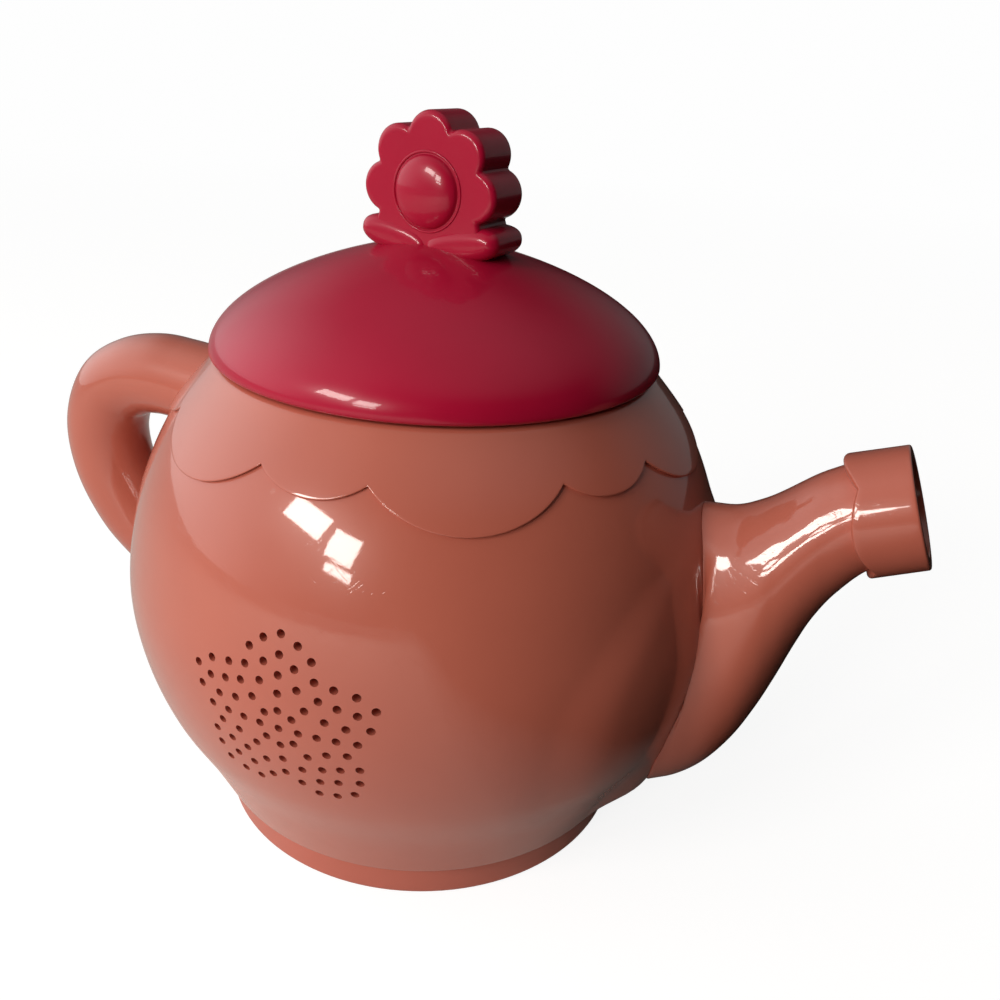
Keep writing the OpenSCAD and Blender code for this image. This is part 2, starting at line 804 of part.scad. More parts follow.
function reversed(list) = [for (i = [len(list) - 1:-1:0]) list[i]];
module spout() {
    color(clay) {
        skin([
            for (k = [0:spout_sides - 1])
            let (a = 360 * k / spout_sides)
            concat(spout_line(a, spout_wall, spout_r - spout_wall), reversed(spout_line(a, 0, spout_r)))
        ], true);
        for (i = [0:len(spout_screw_z) - 1])
            let (z = spout_screw_z[i], half = spout_rib_half[i])
            difference() {
                union() {
                    translate([pot_reach(0, z) + joint_gap, 0, z])
                        rotate([0, 90, 0])
                            cylinder(r = spout_post_r, h = spout_post_len);
                    translate([pot_reach(0, z) + joint_gap + over, -half, z - spout_rib_t / 2])
                        cube([spout_rib_len, 2 * half, spout_rib_t]);
                }
                translate([pot_reach(0, z), 0, z])
                    rotate([0, 90, 0])
                        cylinder(r = screw_pilot_r, h = spout_post_len - over);
            }
    }
}

// Turns a form whose axis is Z so that it points out of the mouth, with its top at the mouth
module at_mouth() {
    translate(mouth)
        rotate([0, 90 - mouth_tilt, 0])
            children();
}

module spout_cuff() {
    rear = -cuff_len - cuff_drop;
    cutter_r = cuff_r + cuff_flare + over;
    half = cuff_r * sin(180 / cuff_lobes);
    lobe_r = (half * half + cuff_drop * cuff_drop) / (2 * cuff_drop);
    color(clay)
        at_mouth()
            intersection() {
                rotate_extrude()
                    polygon([
                        [spout_r + cuff_fit, rear],
                        [cuff_r + cuff_flare, rear],
                        [cuff_r, -cuff_lip / 2],
                        [cuff_r - cuff_lip / 4, 0],
                        [mouth_bore_r, 0],
                        [mouth_bore_r, -cuff_lip],
                        [spout_r + cuff_fit, -cuff_lip]
                    ]);
                union() {
                    translate([0, 0, -cuff_len + cuff_drop])
                        cylinder(r = cutter_r, h = cuff_len);
                    for (k = [0:cuff_lobes - 1])
                        rotate([0, 0, k * 360 / cuff_lobes])
                            translate([0, 0, -cuff_len + lobe_r])
                                rotate([0, 90, 0])
                                    cylinder(r = lobe_r, h = cutter_r);
                }
            }
}

module inner_cup() {
    color(clay)
        rotate_extrude()
            polygon([
                [0, cup_floor_z - cup_wall],
                [cup_bottom_r, cup_floor_z - cup_wall],
                [cup_r, flange_z - shell_lip_t],
                [cup_r, flange_z],
                [body_r(collar_top_z - cap_t) - seat_gap, flange_z],
                [body_r(collar_top_z - cap_t) - seat_gap, flange_z + flange_t],
                [cup_r - cup_wall, flange_z + flange_t],
                [cup_r - cup_wall, flange_z - shell_lip_t],
                [cup_bottom_r - cup_wall, cup_floor_z],
                [0, cup_floor_z]
            ]);
}

// Curve from the lid's rim to its crown
function dome_curve(r, h, steps) = [
    for (k = [0:steps])
    [r * pow(cos(90 * k / steps), dome_across_power), h * pow(sin(90 * k / steps), dome_up_power)]
];
lid_outline = [
    for (p = dome_curve(lid_r, lid_h - lid_roll_h, 4 * edge_steps)) [p[0], rim_z + lid_roll_h + p[1]]
];

module lid_shell() {
    cavity_r = skirt_r - seat_gap;
    color(crimson)
        difference() {
            union() {
                difference() {
                    rotate_extrude()
                        polygon([
                            [0, rim_z],
                            [lid_r - lid_roll_w, rim_z],
                            for (k = [1:edge_steps - 1])
                                let (a = 90 * k / edge_steps)
                                    [lid_r - lid_roll_w * (1 - sin(a)), rim_z + lid_roll_h * (1 - cos(a))],
                            each lid_outline
                        ]);
                    rotate_extrude()
                        polygon([
                            [0, rim_z - over],
                            [cavity_r, rim_z - over],
                            for (p = dome_curve(cavity_r, lid_h - 2 * lid_wall, 3 * edge_steps))
                                [p[0], rim_z + lid_wall + p[1]]
                        ]);
                }
                translate([0, 0, crown_z - lid_wall - knob_boss_h])
                    cylinder(r = knob_boss_r, h = knob_boss_h + lid_wall / 2);
            }
            translate([0, 0, rim_z])
                cylinder(r = knob_clear_r, h = 2 * lid_h);
        }
}

module lid_skirt() {
    color(crimson)
        rotate_extrude()
            polygon([
                [skirt_r - skirt_wall, rim_z - skirt_h],
                [skirt_r - skirt_wall / 3, rim_z - skirt_h],
                [skirt_r, rim_z - skirt_h + skirt_wall],
                [skirt_r, rim_z],
                [skirt_r - seat_gap, rim_z],
                [skirt_r - seat_gap, rim_z + lid_wall],
                [skirt_r - skirt_wall, rim_z + lid_wall]
            ]);
}

// Loops of the flower and of one leaf at depth y, drawn in by inset
function flower_reach(a) =
    let (step = 360 / petals, d = a - step * round(a / step), s = petal_at * sin(d))
    petal_at * cos(d) + sqrt(max(0, petal_r * petal_r - s * s));
function flower_loop(y, inset) = [
    for (k = [0:petals * petal_steps - 1])
    let (a = 360 * k / (petals * petal_steps), r = flower_reach(a) - inset)
    [-r * sin(a), y, flower_z + r * cos(a)]
];
function leaf_loop(y, inset) = [
    for (k = [0:leaf_steps - 1])
    let (a = 360 * k / leaf_steps,
        u = -(leaf_len / 2 - inset) * sin(a), v = (leaf_h / 2 - inset) * cos(a))
    [
        leaf_x + u * cos(leaf_turn) - v * sin(leaf_turn), y,
        crown_z - leaf_drop + u * sin(leaf_turn) + v * cos(leaf_turn)
    ]
];
// Depth and inset at each step of a form of depth t with a round front edge
function edge_levels(t, edge) = concat(
    [[0, 0]],
    [for (k = [0:edge_steps]) let (a = 90 * k / edge_steps) [t - edge + edge * sin(a), edge * (1 - cos(a))]]
);

module leaf() {
    levels = edge_levels(flower_t / 2 + leaf_proud, leaf_h / 2.6);
    skin([for (level = levels) leaf_loop(-level[0], level[1])], false);
}

// Half of the flower on the side of -Y, seated on the lid's dome
module flower_half() {
    levels = edge_levels(flower_t / 2, flower_edge);
    difference() {
        union() {
            skin([for (level = levels) flower_loop(-level[0], level[1])], false);
            leaf();
            mirror([1, 0, 0])
                leaf();
        }
        rotate_extrude()
            polygon([
                [0, rim_z],
                for (p = lid_outline) [p[0], p[1] + joint_gap]
            ]);
        translate([0, over, flower_z + pocket_up])
            rotate([90, 0, 0])
                cylinder(r = pocket_r, h = flower_t / 2 - pocket_wall + over);
        translate([0, 0, rim_z])
            cylinder(r = knob_pilot_r, h = lid_h + knob_hold);
    }
}

module flower_front() {
    color(crimson)
        rotate([0, 0, knob_turn])
            difference() {
                flower_half();
                translate([0, -flower_t / 2 + disc_seat, flower_z])
                    rotate([90, 0, 0])
                        cylinder(r = disc_r + seat_gap / 2, h = flower_t);
            }
}

module flower_rear() {
    color(crimson)
        rotate([0, 0, knob_turn])
            mirror([0, 1, 0])
                flower_half();
}

// Domed centre of the flower with a raised rim, set into the flower's front
module flower_centre() {
    groove_r = mix(dome_r, disc_r, 0.35);
    color(crimson)
        rotate([0, 0, knob_turn])
            translate([0, -flower_t / 2 + disc_seat, flower_z])
                rotate([90, 0, 0])
                    rotate_extrude()
                        polygon([
                            [0, 0],
                            [disc_r, 0],
                            for (k = [0:edge_steps])
                                let (a = 180 * k / edge_steps, share = 0.5 + 0.5 * cos(a))
                                    [mix(groove_r, disc_r, share), mix(disc_seat, disc_lip, sin(a))],
                            for (k = [0:2 * edge_steps])
                                let (a = 45 * k / edge_steps)
                                    [dome_r * cos(a), mix(disc_seat, dome_rise, sin(a))]
                        ]);
}

// Screw that points along +Z with its head below z = 0
module screw(r, hold, head_r, head_h) {
    cylinder(r = r, h = hold);
    translate([0, 0, -head_h])
        difference() {
            cylinder(r = head_r, h = head_h);
            for (a = [0, 90])
                rotate([0, 0, a])
                    translate([-head_r * 0.6, -head_r * 0.12, -over])
                        cube([head_r * 1.2, head_r * 0.24, head_h / 2 + over]);
        }
}

module knob_screw() {
    hold = knob_boss_h + lid_wall + knob_hold - seat_gap;
    color("silver")
        translate([0, 0, crown_z - lid_wall - knob_boss_h])
            screw(knob_pilot_r, hold, knob_screw_head_r, knob_screw_head_h);
}

module along_speaker(y) {
    translate([0, -y, speaker_z])
        rotate([-90, 0, 0])
            children();
}

module speaker_gasket() {
    color("#2A2A2C")
        along_speaker(seat_y)
            difference() {
                cylinder(r = speaker_r, h = gasket_t);
                translate([0, 0, -over])
                    cylinder(r = speaker_r - seat_wall / 2, h = gasket_t + 2 * over);
            }
}

module speaker_frame() {
    throat_r = magnet_r - 2 * cone_t;
    color("#8F9499") {
        along_speaker(frame_y)
            rotate_extrude()
                polygon([
                    [speaker_r - seat_wall, 0],
                    [speaker_r, 0],
                    [speaker_r, frame_t],
                    [speaker_r - seat_wall / 2, frame_t],
                    [throat_r, frame_t + basket_len],
                    [0, frame_t + basket_len],
                    [0, frame_t + basket_len - frame_t],
                    [throat_r - frame_t, basket_len],
                    [speaker_r - seat_wall, frame_t]
                ]);
        translate([-terminal_half, -frame_y, speaker_z - speaker_r - terminal_out])
            cube([2 * terminal_half, terminal_t, terminal_out + seat_wall / 2]);
    }
}

module speaker_cone() {
    rim_r = speaker_r - seat_wall - seat_gap;
    color("#303033")
        along_speaker(frame_y)
            rotate_extrude()
                polygon([
                    [0, basket_len / 2],
                    [rim_r / 3, basket_len * 0.62],
                    [rim_r - 2 * cone_t, cone_t],
                    [rim_r - cone_t, 0],
                    [rim_r + seat_gap / 2, 0],
                    [rim_r + seat_gap / 2, cone_t],
                    [rim_r - cone_t, 2 * cone_t],
                    [rim_r / 3, basket_len * 0.62 + 2 * cone_t],
                    [rim_r / 3, basket_len - seat_gap],
                    [rim_r / 3 - cone_t, basket_len - seat_gap],
                    [rim_r / 3 - cone_t, basket_len * 0.62 + cone_t],
                    [0, basket_len / 2 + cone_t]
                ]);
}

module speaker_magnet() {
    color("#5C5F63")
        along_speaker(magnet_y)
            rotate_extrude()
                polygon([
                    [0, 0],
                    [magnet_r, 0],
                    [magnet_r, magnet_len - frame_t],
                    [magnet_r - frame_t, magnet_len],
                    [0, magnet_len]
                ]);
}

module speaker_screws() {
    color("silver")
        for (a = [90, 210, 330])
            translate([speaker_post_at * cos(a), -basket_y, speaker_z + speaker_post_at * sin(a)])
                rotate([90, 0, 0])
                    screw(speaker_screw_r, speaker_screw_len, speaker_screw_head_r, speaker_screw_head_h);
}

module circuit_board() {
    color("#2E6B45")
        difference() {
            translate([-board_l / 2, -board_w / 2, board_z])
                cube([board_l, board_w, board_t]);
            for (x = [-1, 1], y = [-1, 1])
                translate([x * (board_l / 2 - board_edge), y * (board_w / 2 - board_edge), board_z - over])
                    cylinder(r = board_screw_r + seat_gap, h = board_t + 2 * over);
        }
}

module board_screws() {
    color("silver")
        for (x = [-1, 1], y = [-1, 1])
            translate([x * (board_l / 2 - board_edge), y * (board_w / 2 - board_edge), board_top_z])
                rotate([180, 0, 0])
                    screw(board_pilot_r, board_t + board_lift - over, board_screw_head_r, board_screw_head_h);
}

chip_l = 10;
chip_w = 7;
chip_h = 1.8;
leg_l = 1.2;
leg_t = 0.5;
legs = 5;
module sound_chip() {
    color("#1E1E20")
        translate([-chip_l / 2, -chip_w / 2, board_top_z]) {
            translate([0, 0, leg_t])
                cube([chip_l, chip_w, chip_h]);
            for (k = [0:legs - 1], s = [0, 1])
                translate([chip_l * (k + 0.5) / legs - leg_t / 2, s * (chip_w + leg_l) - leg_l, 0])
                    cube([leg_t, leg_l, chip_h / 2]);
            translate([chip_l / 4, chip_w / 4, 0])
                cube([chip_l / 2, chip_w / 2, leg_t]);
        }
}

capacitor_r = 3.2;
capacitor_h = 9;
capacitor_in = 10;
capacitor_step = 9;
capacitor_y = -9;
module capacitors() {
    color("#2B3A66")
        for (k = [0, 1])
            translate([capacitor_in + k * capacitor_step - board_l / 2, capacitor_y, board_top_z])
                rotate_extrude()
                    polygon([
                        [0, 0],
                        [capacitor_r, 0],
                        [capacitor_r, capacitor_h - leg_t],
                        [capacitor_r - leg_t, capacitor_h],
                        [0, capacitor_h]
                    ]);
}

module tilt_case() {
    color("#C9CCD0")
        translate([-tilt_len / 2, tilt_y, tilt_z])
            rotate([0, 90, 0])
                difference() {
                    cylinder(r = tilt_r, h = tilt_len);
                    translate([0, 0, tilt_wall])
                        cylinder(r = ball_r + tilt_gap, h = tilt_len - 2 * tilt_wall);
                }
}

module tilt_ball() {
    color("#E0E2E5")
        translate([-tilt_len / 2 + tilt_wall + tilt_gap + ball_r, tilt_y, tilt_z])
            sphere(r = ball_r);
}

// Power switch: an open-bottomed case over a slot in the base plate, and its slider
module switch_case() {
    color("#D8D9DB")
        translate([-switch_l / 2, switch_y - switch_w / 2, plate_top_z])
            difference() {
                cube([switch_l, switch_w, switch_h]);
                translate([switch_wall, switch_wall, -over])
                    cube([
                        switch_l - 2 * switch_wall,
                        switch_w - 2 * switch_wall,
                        switch_h - switch_wall + over
                    ]);
            }
}

module switch_slider() {
    color("#232325") {
        translate([-slide_travel / 2 - slider_l / 2, switch_y - slider_w / 2, plate_z])
            cube([slider_l, slider_w, plate_t + seat_gap]);
        translate([-slide_travel / 2, switch_y, plate_top_z + seat_gap + slider_shoe_h / 2])
            cube([slider_shoe_l, slider_shoe_w, slider_shoe_h], center = true);
    }
}

nub_r = 2.6;
nub_h = 1.2;
case_edge = 0.6;
module batteries() {
    color("#3C6E8F")
        for (k = [0:battery_n - 1])
            let (side = k % 2 == 0 ? 1 : -1)
            translate([0, (k - (battery_n - 1) / 2) * battery_pitch, battery_z])
                rotate([0, side * 90, 0])
                    translate([0, 0, -(battery_len + spring_len / 2) / 2 + spring_len / 2])
                        rotate_extrude()
                            polygon([
                                [0, 0],
                                [battery_d / 2 - case_edge, 0],
                                [battery_d / 2, case_edge],
                                [battery_d / 2, battery_len - nub_h - case_edge],
                                [battery_d / 2 - case_edge, battery_len - nub_h],
                                [nub_r, battery_len - nub_h],
                                [nub_r, battery_len],
                                [0, battery_len]
                            ]);
}

// Cone-shaped coil spring on the flat end of each battery
spring_turns = 3;
spring_rings = 8;
spring_wide = 4.6;
spring_narrow = 2.6;
spring_wire_r = 0.45;
module battery_spring() {
    n = spring_turns * spring_rings;
    h = spring_len / 2 - 2 * spring_wire_r;
    path = [
        for (k = [0:n])
        let (r = mix(spring_wide, spring_narrow, k / n), a = 360 * k / spring_rings)
        [r * cos(a), r * sin(a), spring_wire_r + h * k / n]
    ];
    skin([
        for (i = [0:n])
        let (t = path_tangent(path, i), u = cross(t, [0, 0, 1]), un = u / norm(u), v = cross(t, un))
        [for (k = [0:5]) path[i] + spring_wire_r * (cos(60 * k) * un + sin(60 * k) * v)]
    ], false);
}

module battery_springs() {
    color("silver")
        for (k = [0:battery_n - 1])
            let (side = k % 2 == 0 ? 1 : -1)
            translate([0, (k - (battery_n - 1) / 2) * battery_pitch, battery_z])
                rotate([0, side * 90, 0])
                    translate([0, 0, -(battery_len + spring_len / 2) / 2])
                        battery_spring();
}

contact_h = 10;
module battery_contacts() {
    end_x = (battery_len + spring_len / 2) / 2;
    color("#C7CACD")
        for (s = [-1, 1])
            for (k = [0:battery_n - 1])
                translate([s > 0 ? end_x : -end_x - contact_t, (k - (battery_n - 1) / 2) * battery_pitch, 0])
                    translate([0, -battery_pitch / 2 + battery_gap, battery_z - contact_h / 2])
                        cube([contact_t, battery_pitch - 2 * battery_gap, contact_h]);
}

module battery_door() {
    color(clay_deep)
        difference() {
            union() {
                translate([barrel_x, -door_half_y, plate_z])
                    cube([door_end_x - barrel_x - door_gap, 2 * door_half_y, plate_t]);
                translate([0, -tab_half_y, plate_z])
                    cube([door_end_x + tab_len, 2 * tab_half_y, plate_t]);
                translate([barrel_x, 0, barrel_z])
                    rotate([90, 0, 0]) {
                        cylinder(r = barrel_r, h = 2 * door_half_y, center = true);
                        cylinder(r = pin_r, h = 2 * (door_half_y + pin_len), center = true);
                    }
            }
            translate([door_screw_x, 0, plate_z - over]) {
                cylinder(r = door_screw_r + seat_gap / 2, h = plate_t + 2 * over);
                cylinder(r = door_screw_head_r + seat_gap, h = door_screw_head_h + over);
            }
        }
}

module door_screw() {
    color("silver")
        translate([door_screw_x, 0, plate_z + door_screw_head_h])
            screw(
                door_screw_r, plate_t - door_screw_head_h + door_screw_hold,
                door_screw_head_r, door_screw_head_h
            );
}

module base_screws() {
    color("silver")
        for (a = post_angles, s = [-1, 1])
            rotate([0, 0, s * a])
                translate([post_at, 0, plate_z + plate_t / 2])
                    screw(screw_pilot_r, plate_t / 2 + screw_hold, screw_head_r, plate_t / 2);
}

module spout_screws() {
    color("silver")
        for (z = spout_screw_z)
            translate([body_r(z) - wall - screw_head_h / 2, 0, z])
                rotate([0, 90, 0])
                    screw(screw_pilot_r, spout_post_len, screw_head_r, screw_head_h);
}

// Two leads from the board to the speaker's terminals
lead_x = 3;
lead_rise = 3;
module speaker_leads() {
    y0 = -board_w / 2 + board_edge;
    end_z = speaker_z - speaker_r - terminal_out / 2;
    end_y = -frame_y + terminal_t;
    color("#A02A2A")
        for (s = [-1, 1])
            wire([
                [s * lead_x, y0, board_top_z],
                [s * lead_x, y0, board_top_z + lead_rise],
                [s * lead_x, mix(y0, end_y, 0.35), board_top_z + 2 * lead_rise],
                [s * lead_x, mix(y0, end_y, 0.6), board_top_z + lead_rise],
                [s * lead_x, mix(y0, end_y, 0.85), end_z],
                [s * lead_x, end_y, end_z]
            ], 30);
}

// Two leads from the battery box's roof, up past the board's rear edge and onto the board
battery_lead_x = 12;
module battery_leads() {
    y0 = board_w / 2 + 2 * wire_r;
    y1 = board_w / 2 - board_edge;
    color("#1F1F22")
        for (s = [-1, 1])
            wire([
                [s * battery_lead_x, y0, bay_top_z],
                [s * battery_lead_x, y0, bay_top_z + board_lift],
                [s * battery_lead_x, y0, board_top_z + 3 * wire_r],
                [s * battery_lead_x, (y0 + y1) / 2, board_top_z + 6 * wire_r],
                [s * battery_lead_x, y1, board_top_z + 3 * wire_r],
                [s * battery_lead_x, y1, board_top_z]
            ], 24);
}

body_front();
body_rear();
collar();
base();
handle_front();
handle_rear();
spout();
spout_cuff();
inner_cup();
lid_shell();
lid_skirt();
flower_front();
flower_rear();
flower_centre();
knob_screw();
speaker_frame();
speaker_cone();
speaker_magnet();
speaker_gasket();
speaker_screws();
circuit_board();
sound_chip();
capacitors();
board_screws();
tilt_case();
tilt_ball();
switch_case();
switch_slider();
batteries();
battery_springs();
battery_contacts();
battery_door();
door_screw();
base_screws();
spout_screws();
speaker_leads();
battery_leads();
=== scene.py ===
"""Looks of a toy teapot: its moulded shells, lid, flower knob, spout and handle, dressed and lit.

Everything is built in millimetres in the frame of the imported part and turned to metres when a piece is
finished. Z is up, the spout points along +X, the handle along -X and the speaker grille faces -Y.
"""
import logging
import math
from dataclasses import dataclass
from enum import Enum
from typing import Callable, Sequence

import bmesh
import bpy
from mathutils import Matrix, Vector
from mathutils.kdtree import KDTree


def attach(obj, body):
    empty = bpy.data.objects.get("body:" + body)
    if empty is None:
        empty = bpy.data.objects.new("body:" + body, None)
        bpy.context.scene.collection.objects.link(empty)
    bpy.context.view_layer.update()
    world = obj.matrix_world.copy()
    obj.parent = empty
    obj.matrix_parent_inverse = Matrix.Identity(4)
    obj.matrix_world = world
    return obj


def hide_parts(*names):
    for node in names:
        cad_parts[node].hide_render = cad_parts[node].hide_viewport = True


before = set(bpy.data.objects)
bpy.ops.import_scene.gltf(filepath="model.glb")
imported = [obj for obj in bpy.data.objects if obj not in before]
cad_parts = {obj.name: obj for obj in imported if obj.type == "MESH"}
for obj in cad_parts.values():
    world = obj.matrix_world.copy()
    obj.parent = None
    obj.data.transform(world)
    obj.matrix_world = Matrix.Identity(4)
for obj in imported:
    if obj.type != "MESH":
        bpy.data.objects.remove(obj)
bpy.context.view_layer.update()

MM = 0.001
FULL_TURN = 2 * math.pi
MERGE_MM = 1e-4

log = logging.getLogger("teapot")

Place = Callable[[float, int], Vector]


class Side(Enum):
    """Which half of a moulding that is split on the plane y = 0."""

    FRONT = -1
    REAR = 1


# Curves


def catmull(a: float, b: float, c: float, d: float, t: float) -> float:
    """Value at t between b and c on the smooth curve through a, b, c and d."""
    return 0.5 * (2 * b + (c - a) * t + (2 * a - 5 * b + 4 * c - d) * t * t + (3 * b - a - 3 * c + d) * t**3)


def along(points: Sequence[Sequence[float]], share: float) -> list[float]:
    """Point on the smooth curve through points.

    Args:
        points: the curve's own points, each a row of numbers.
        share: how far along, from 0 to 1, with equal steps from point to point.

    Returns:
        The numbers of the point there.
    """
    last = len(points) - 1
    place = share * last
    i = max(0, min(last - 1, math.floor(place)))
    before = points[i - 1] if i > 0 else [2 * p - q for p, q in zip(points[0], points[1])]
    after = points[i + 2] if i + 2 <= last else [2 * p - q for p, q in zip(points[last], points[last - 1])]
    return [catmull(a, b, c, d, place - i) for a, b, c, d in zip(before, points[i], points[i + 1], after)]


def eased(knots: Sequence[tuple[float, float]], x: float) -> float:
    """Smooth value at x through knots of (x, value), flat beyond both ends."""
    if x <= knots[0][0]:
        return knots[0][1]
    if x >= knots[-1][0]:
        return knots[-1][1]
    slopes = [(q[1] - p[1]) / (q[0] - p[0]) for p, q in zip(knots, knots[1:])]
    i = next(k for k in range(len(slopes)) if x <= knots[k + 1][0])
    lean = [0.0] + [(s + t) / 2 if s * t > 0 else 0.0 for s, t in zip(slopes, slopes[1:])] + [0.0]
    (x0, y0), (x1, y1) = knots[i], knots[i + 1]
    w, t = x1 - x0, (x - x0) / (x1 - x0)
    return (
        y0 * (1 + 2 * t) * (1 - t) ** 2
        + y1 * t * t * (3 - 2 * t)
        + w * lean[i] * t * (1 - t) ** 2
        - w * lean[i + 1] * t * t * (1 - t)
    )


def mix(a: float, b: float, t: float) -> float:
    """Value at share t of the way from a to b."""
    return a + (b - a) * t


def quarter(radius: float, steps: int) -> list[tuple[float, float]]:
    """Corner of a round edge: (distance in from the side, distance in from the face), from side to face."""
    turns = [math.pi / 2 * k / steps for k in range(steps + 1)]
    return [(radius * (1 - math.cos(a)), radius * (1 - math.sin(a))) for a in turns]


# Meshes


def spun_skin(rows: int, turns: int, place: Place, closed: bool = False) -> bmesh.types.BMesh:
    """Skin of a moulding: a wire of rows points spun into a full ring, each point then put in its place.

    Args:
        rows: points on the wire.
        turns: steps of the spin.
        place: gives the place in mm for a share of the turn and a row.
        closed: whether the last row joins the first one again.

    Returns:
        The skin, with its poles closed and its faces outwards.
    """
    bm = bmesh.new()
    wire = [bm.verts.new((1.0, 0.0, float(row))) for row in range(rows)]
    nexts = wire[1:] + wire[:1] if closed else wire[1:]
    edges = [bm.edges.new(pair) for pair in zip(wire, nexts)]
    bmesh.ops.spin(
        bm, geom=wire + edges, cent=(0, 0, 0), axis=(0, 0, 1), dvec=(0, 0, 0),
        angle=FULL_TURN, steps=turns, use_merge=True, use_duplicate=False,
    )
    for vert in bm.verts:
        column = round(math.atan2(vert.co.y, vert.co.x) / FULL_TURN * turns) % turns
        vert.co = place(column / turns, round(vert.co.z))
    bmesh.ops.remove_doubles(bm, verts=bm.verts[:], dist=MERGE_MM)
    bmesh.ops.recalc_face_normals(bm, faces=bm.faces[:])
    return bm


def half_of(full: bmesh.types.BMesh, side: Side) -> bmesh.types.BMesh:
    """The half of a moulding on one side of y = 0, closed on that plane."""
    bm = full.copy()
    bmesh.ops.bisect_plane(
        bm, geom=bm.verts[:] + bm.edges[:] + bm.faces[:], dist=MERGE_MM,
        plane_co=(0, 0, 0), plane_no=(0, side.value, 0), clear_inner=True, clear_outer=False,
    )
    rims = [e for e in bm.edges if e.is_boundary]
    bmesh.ops.holes_fill(bm, edges=rims, sides=0)
    bmesh.ops.recalc_face_normals(bm, faces=bm.faces[:])
    return bm


class SmoothBook:
    """Smooth normals of an uncut skin, to give to what is cut from it."""

    nearest = 4
    facing = 0.85

    def __init__(self, skin: bmesh.types.BMesh) -> None:
        """Keeps the places and normals of the skin's points."""
        skin.normal_update()
        self.normals = [v.normal.copy() for v in skin.verts]
        self.tree = KDTree(len(self.normals))
        for i, v in enumerate(skin.verts):
            self.tree.insert(v.co, i)
        self.tree.balance()

    def at(self, place: Vector, face_normal: Vector) -> Vector:
        """Smooth normal at a place in mm, or the face's own where the skin faces another way."""
        total = Vector((0, 0, 0))
        for _, i, gap in self.tree.find_n(place, self.nearest):
            if self.normals[i].dot(face_normal) > 0:
                total += self.normals[i] / (gap + MERGE_MM)
        total.normalize()
        return total if total.dot(face_normal) > self.facing else face_normal

    def dress(self, mesh: bpy.types.Mesh) -> None:
        """Gives a mesh in metres the uncut skin's normals."""
        mesh.shade_smooth()
        normals = [Vector((0, 0, 1))] * len(mesh.loops)
        for poly in mesh.polygons:
            flat = poly.normal.copy()
            for loop in poly.loop_indices:
                normals[loop] = self.at(mesh.vertices[mesh.loops[loop].vertex_index].co / MM, flat)
        mesh.normals_split_custom_set(normals)


def new_object(bm: bmesh.types.BMesh, name: str) -> bpy.types.Object:
    """Turns a form in mm into an object in metres at the origin."""
    bmesh.ops.scale(bm, vec=(MM, MM, MM), verts=bm.verts[:])
    mesh = bpy.data.meshes.new(name)
    bm.to_mesh(mesh)
    bm.free()
    piece = bpy.data.objects.new(name, mesh)
    bpy.context.scene.collection.objects.link(piece)
    return piece


def cut_away(piece: bpy.types.Object, tool: bpy.types.Object) -> None:
    """Cuts the tool's form out of the piece and removes the tool."""
    cut = piece.modifiers.new("cut", "BOOLEAN")
    cut.object, cut.operation, cut.solver = tool, "DIFFERENCE", "EXACT"
    shown = piece.evaluated_get(bpy.context.evaluated_depsgraph_get())
    mesh = bpy.data.meshes.new_from_object(shown)
    piece.modifiers.clear()
    piece.data = mesh
    bpy.data.objects.remove(tool)


def sharpen(piece: bpy.types.Object, degrees: float = 34) -> None:
    """Shades a piece smooth, apart from edges that turn by more than degrees."""
    piece.data.shade_smooth()
    piece.data.set_sharp_from_angle(angle=math.radians(degrees))


# Finishes


def linear(colour: str) -> tuple[float, float, float, float]:
    """Linear colour of an sRGB hex value such as #C8735F."""
    parts = [int(colour[i : i + 2], 16) / 255 for i in (1, 3, 5)]
    return (*(p / 12.92 if p <= 0.04045 else ((p + 0.055) / 1.055) ** 2.4 for p in parts), 1.0)


def add(
    tree: bpy.types.NodeTree, kind: str, sockets: dict | None = None, **settings: object
) -> bpy.types.Node:
    """Adds a node.

    Args:
        tree: the material's or world's nodes.
        kind: Blender's name of the node.
        sockets: values or other nodes' sockets for its inputs, by name or number.
        settings: the node's own properties.

    Returns:
        The node.
    """
    node = tree.nodes.new(kind)
    for name, value in settings.items():
        setattr(node, name, value)
    for name, value in (sockets or {}).items():
        if isinstance(value, bpy.types.NodeSocket):
            tree.links.new(value, node.inputs[name])
        else:
            node.inputs[name].default_value = value
    return node


def per_mm(size: float) -> float:
    """Scale of a pattern on Object coordinates, whose grain is size mm."""
    return 1 / (size * MM)


def ramp(
    tree: bpy.types.NodeTree, value: bpy.types.NodeSocket, low: float, high: float
) -> bpy.types.NodeSocket:
    """Value turned to 0 below low and 1 above high."""
    node = add(tree, "ShaderNodeMapRange", {"Value": value, "From Min": low, "From Max": high})
    return node.outputs["Result"]


def two_tones(
    tree: bpy.types.NodeTree, share: bpy.types.NodeSocket, low: str, high: str
) -> bpy.types.NodeSocket:
    """Colour between two sRGB hex values, the first at share 0."""
    tone = add(tree, "ShaderNodeMix", {"Factor": share}, data_type="RGBA")
    tone.inputs[6].default_value, tone.inputs[7].default_value = linear(low), linear(high)
    return tone.outputs[2]


@dataclass(frozen=True)
class Wear:
    """Hair scratches: their lays as (turn, seed), thickness, the patches that hold them and their depth."""

    lays: tuple[tuple[float, float], ...] = ((-0.6, 1.0), (-0.95, 7.0), (-0.3, 13.0), (0.8, 19.0))
    tip: float = 0.2
    drawn: tuple[float, float, float] = (0.05, 0.3, 1.0)
    hair_mm: float = 0.32
    wobble: float = 0.25
    hair_from: float = 0.67
    hair_full: float = 0.75
    patch_mm: float = 16.0
    patch_from: float = 0.5
    patch_full: float = 0.66
    depth_mm: float = 0.02


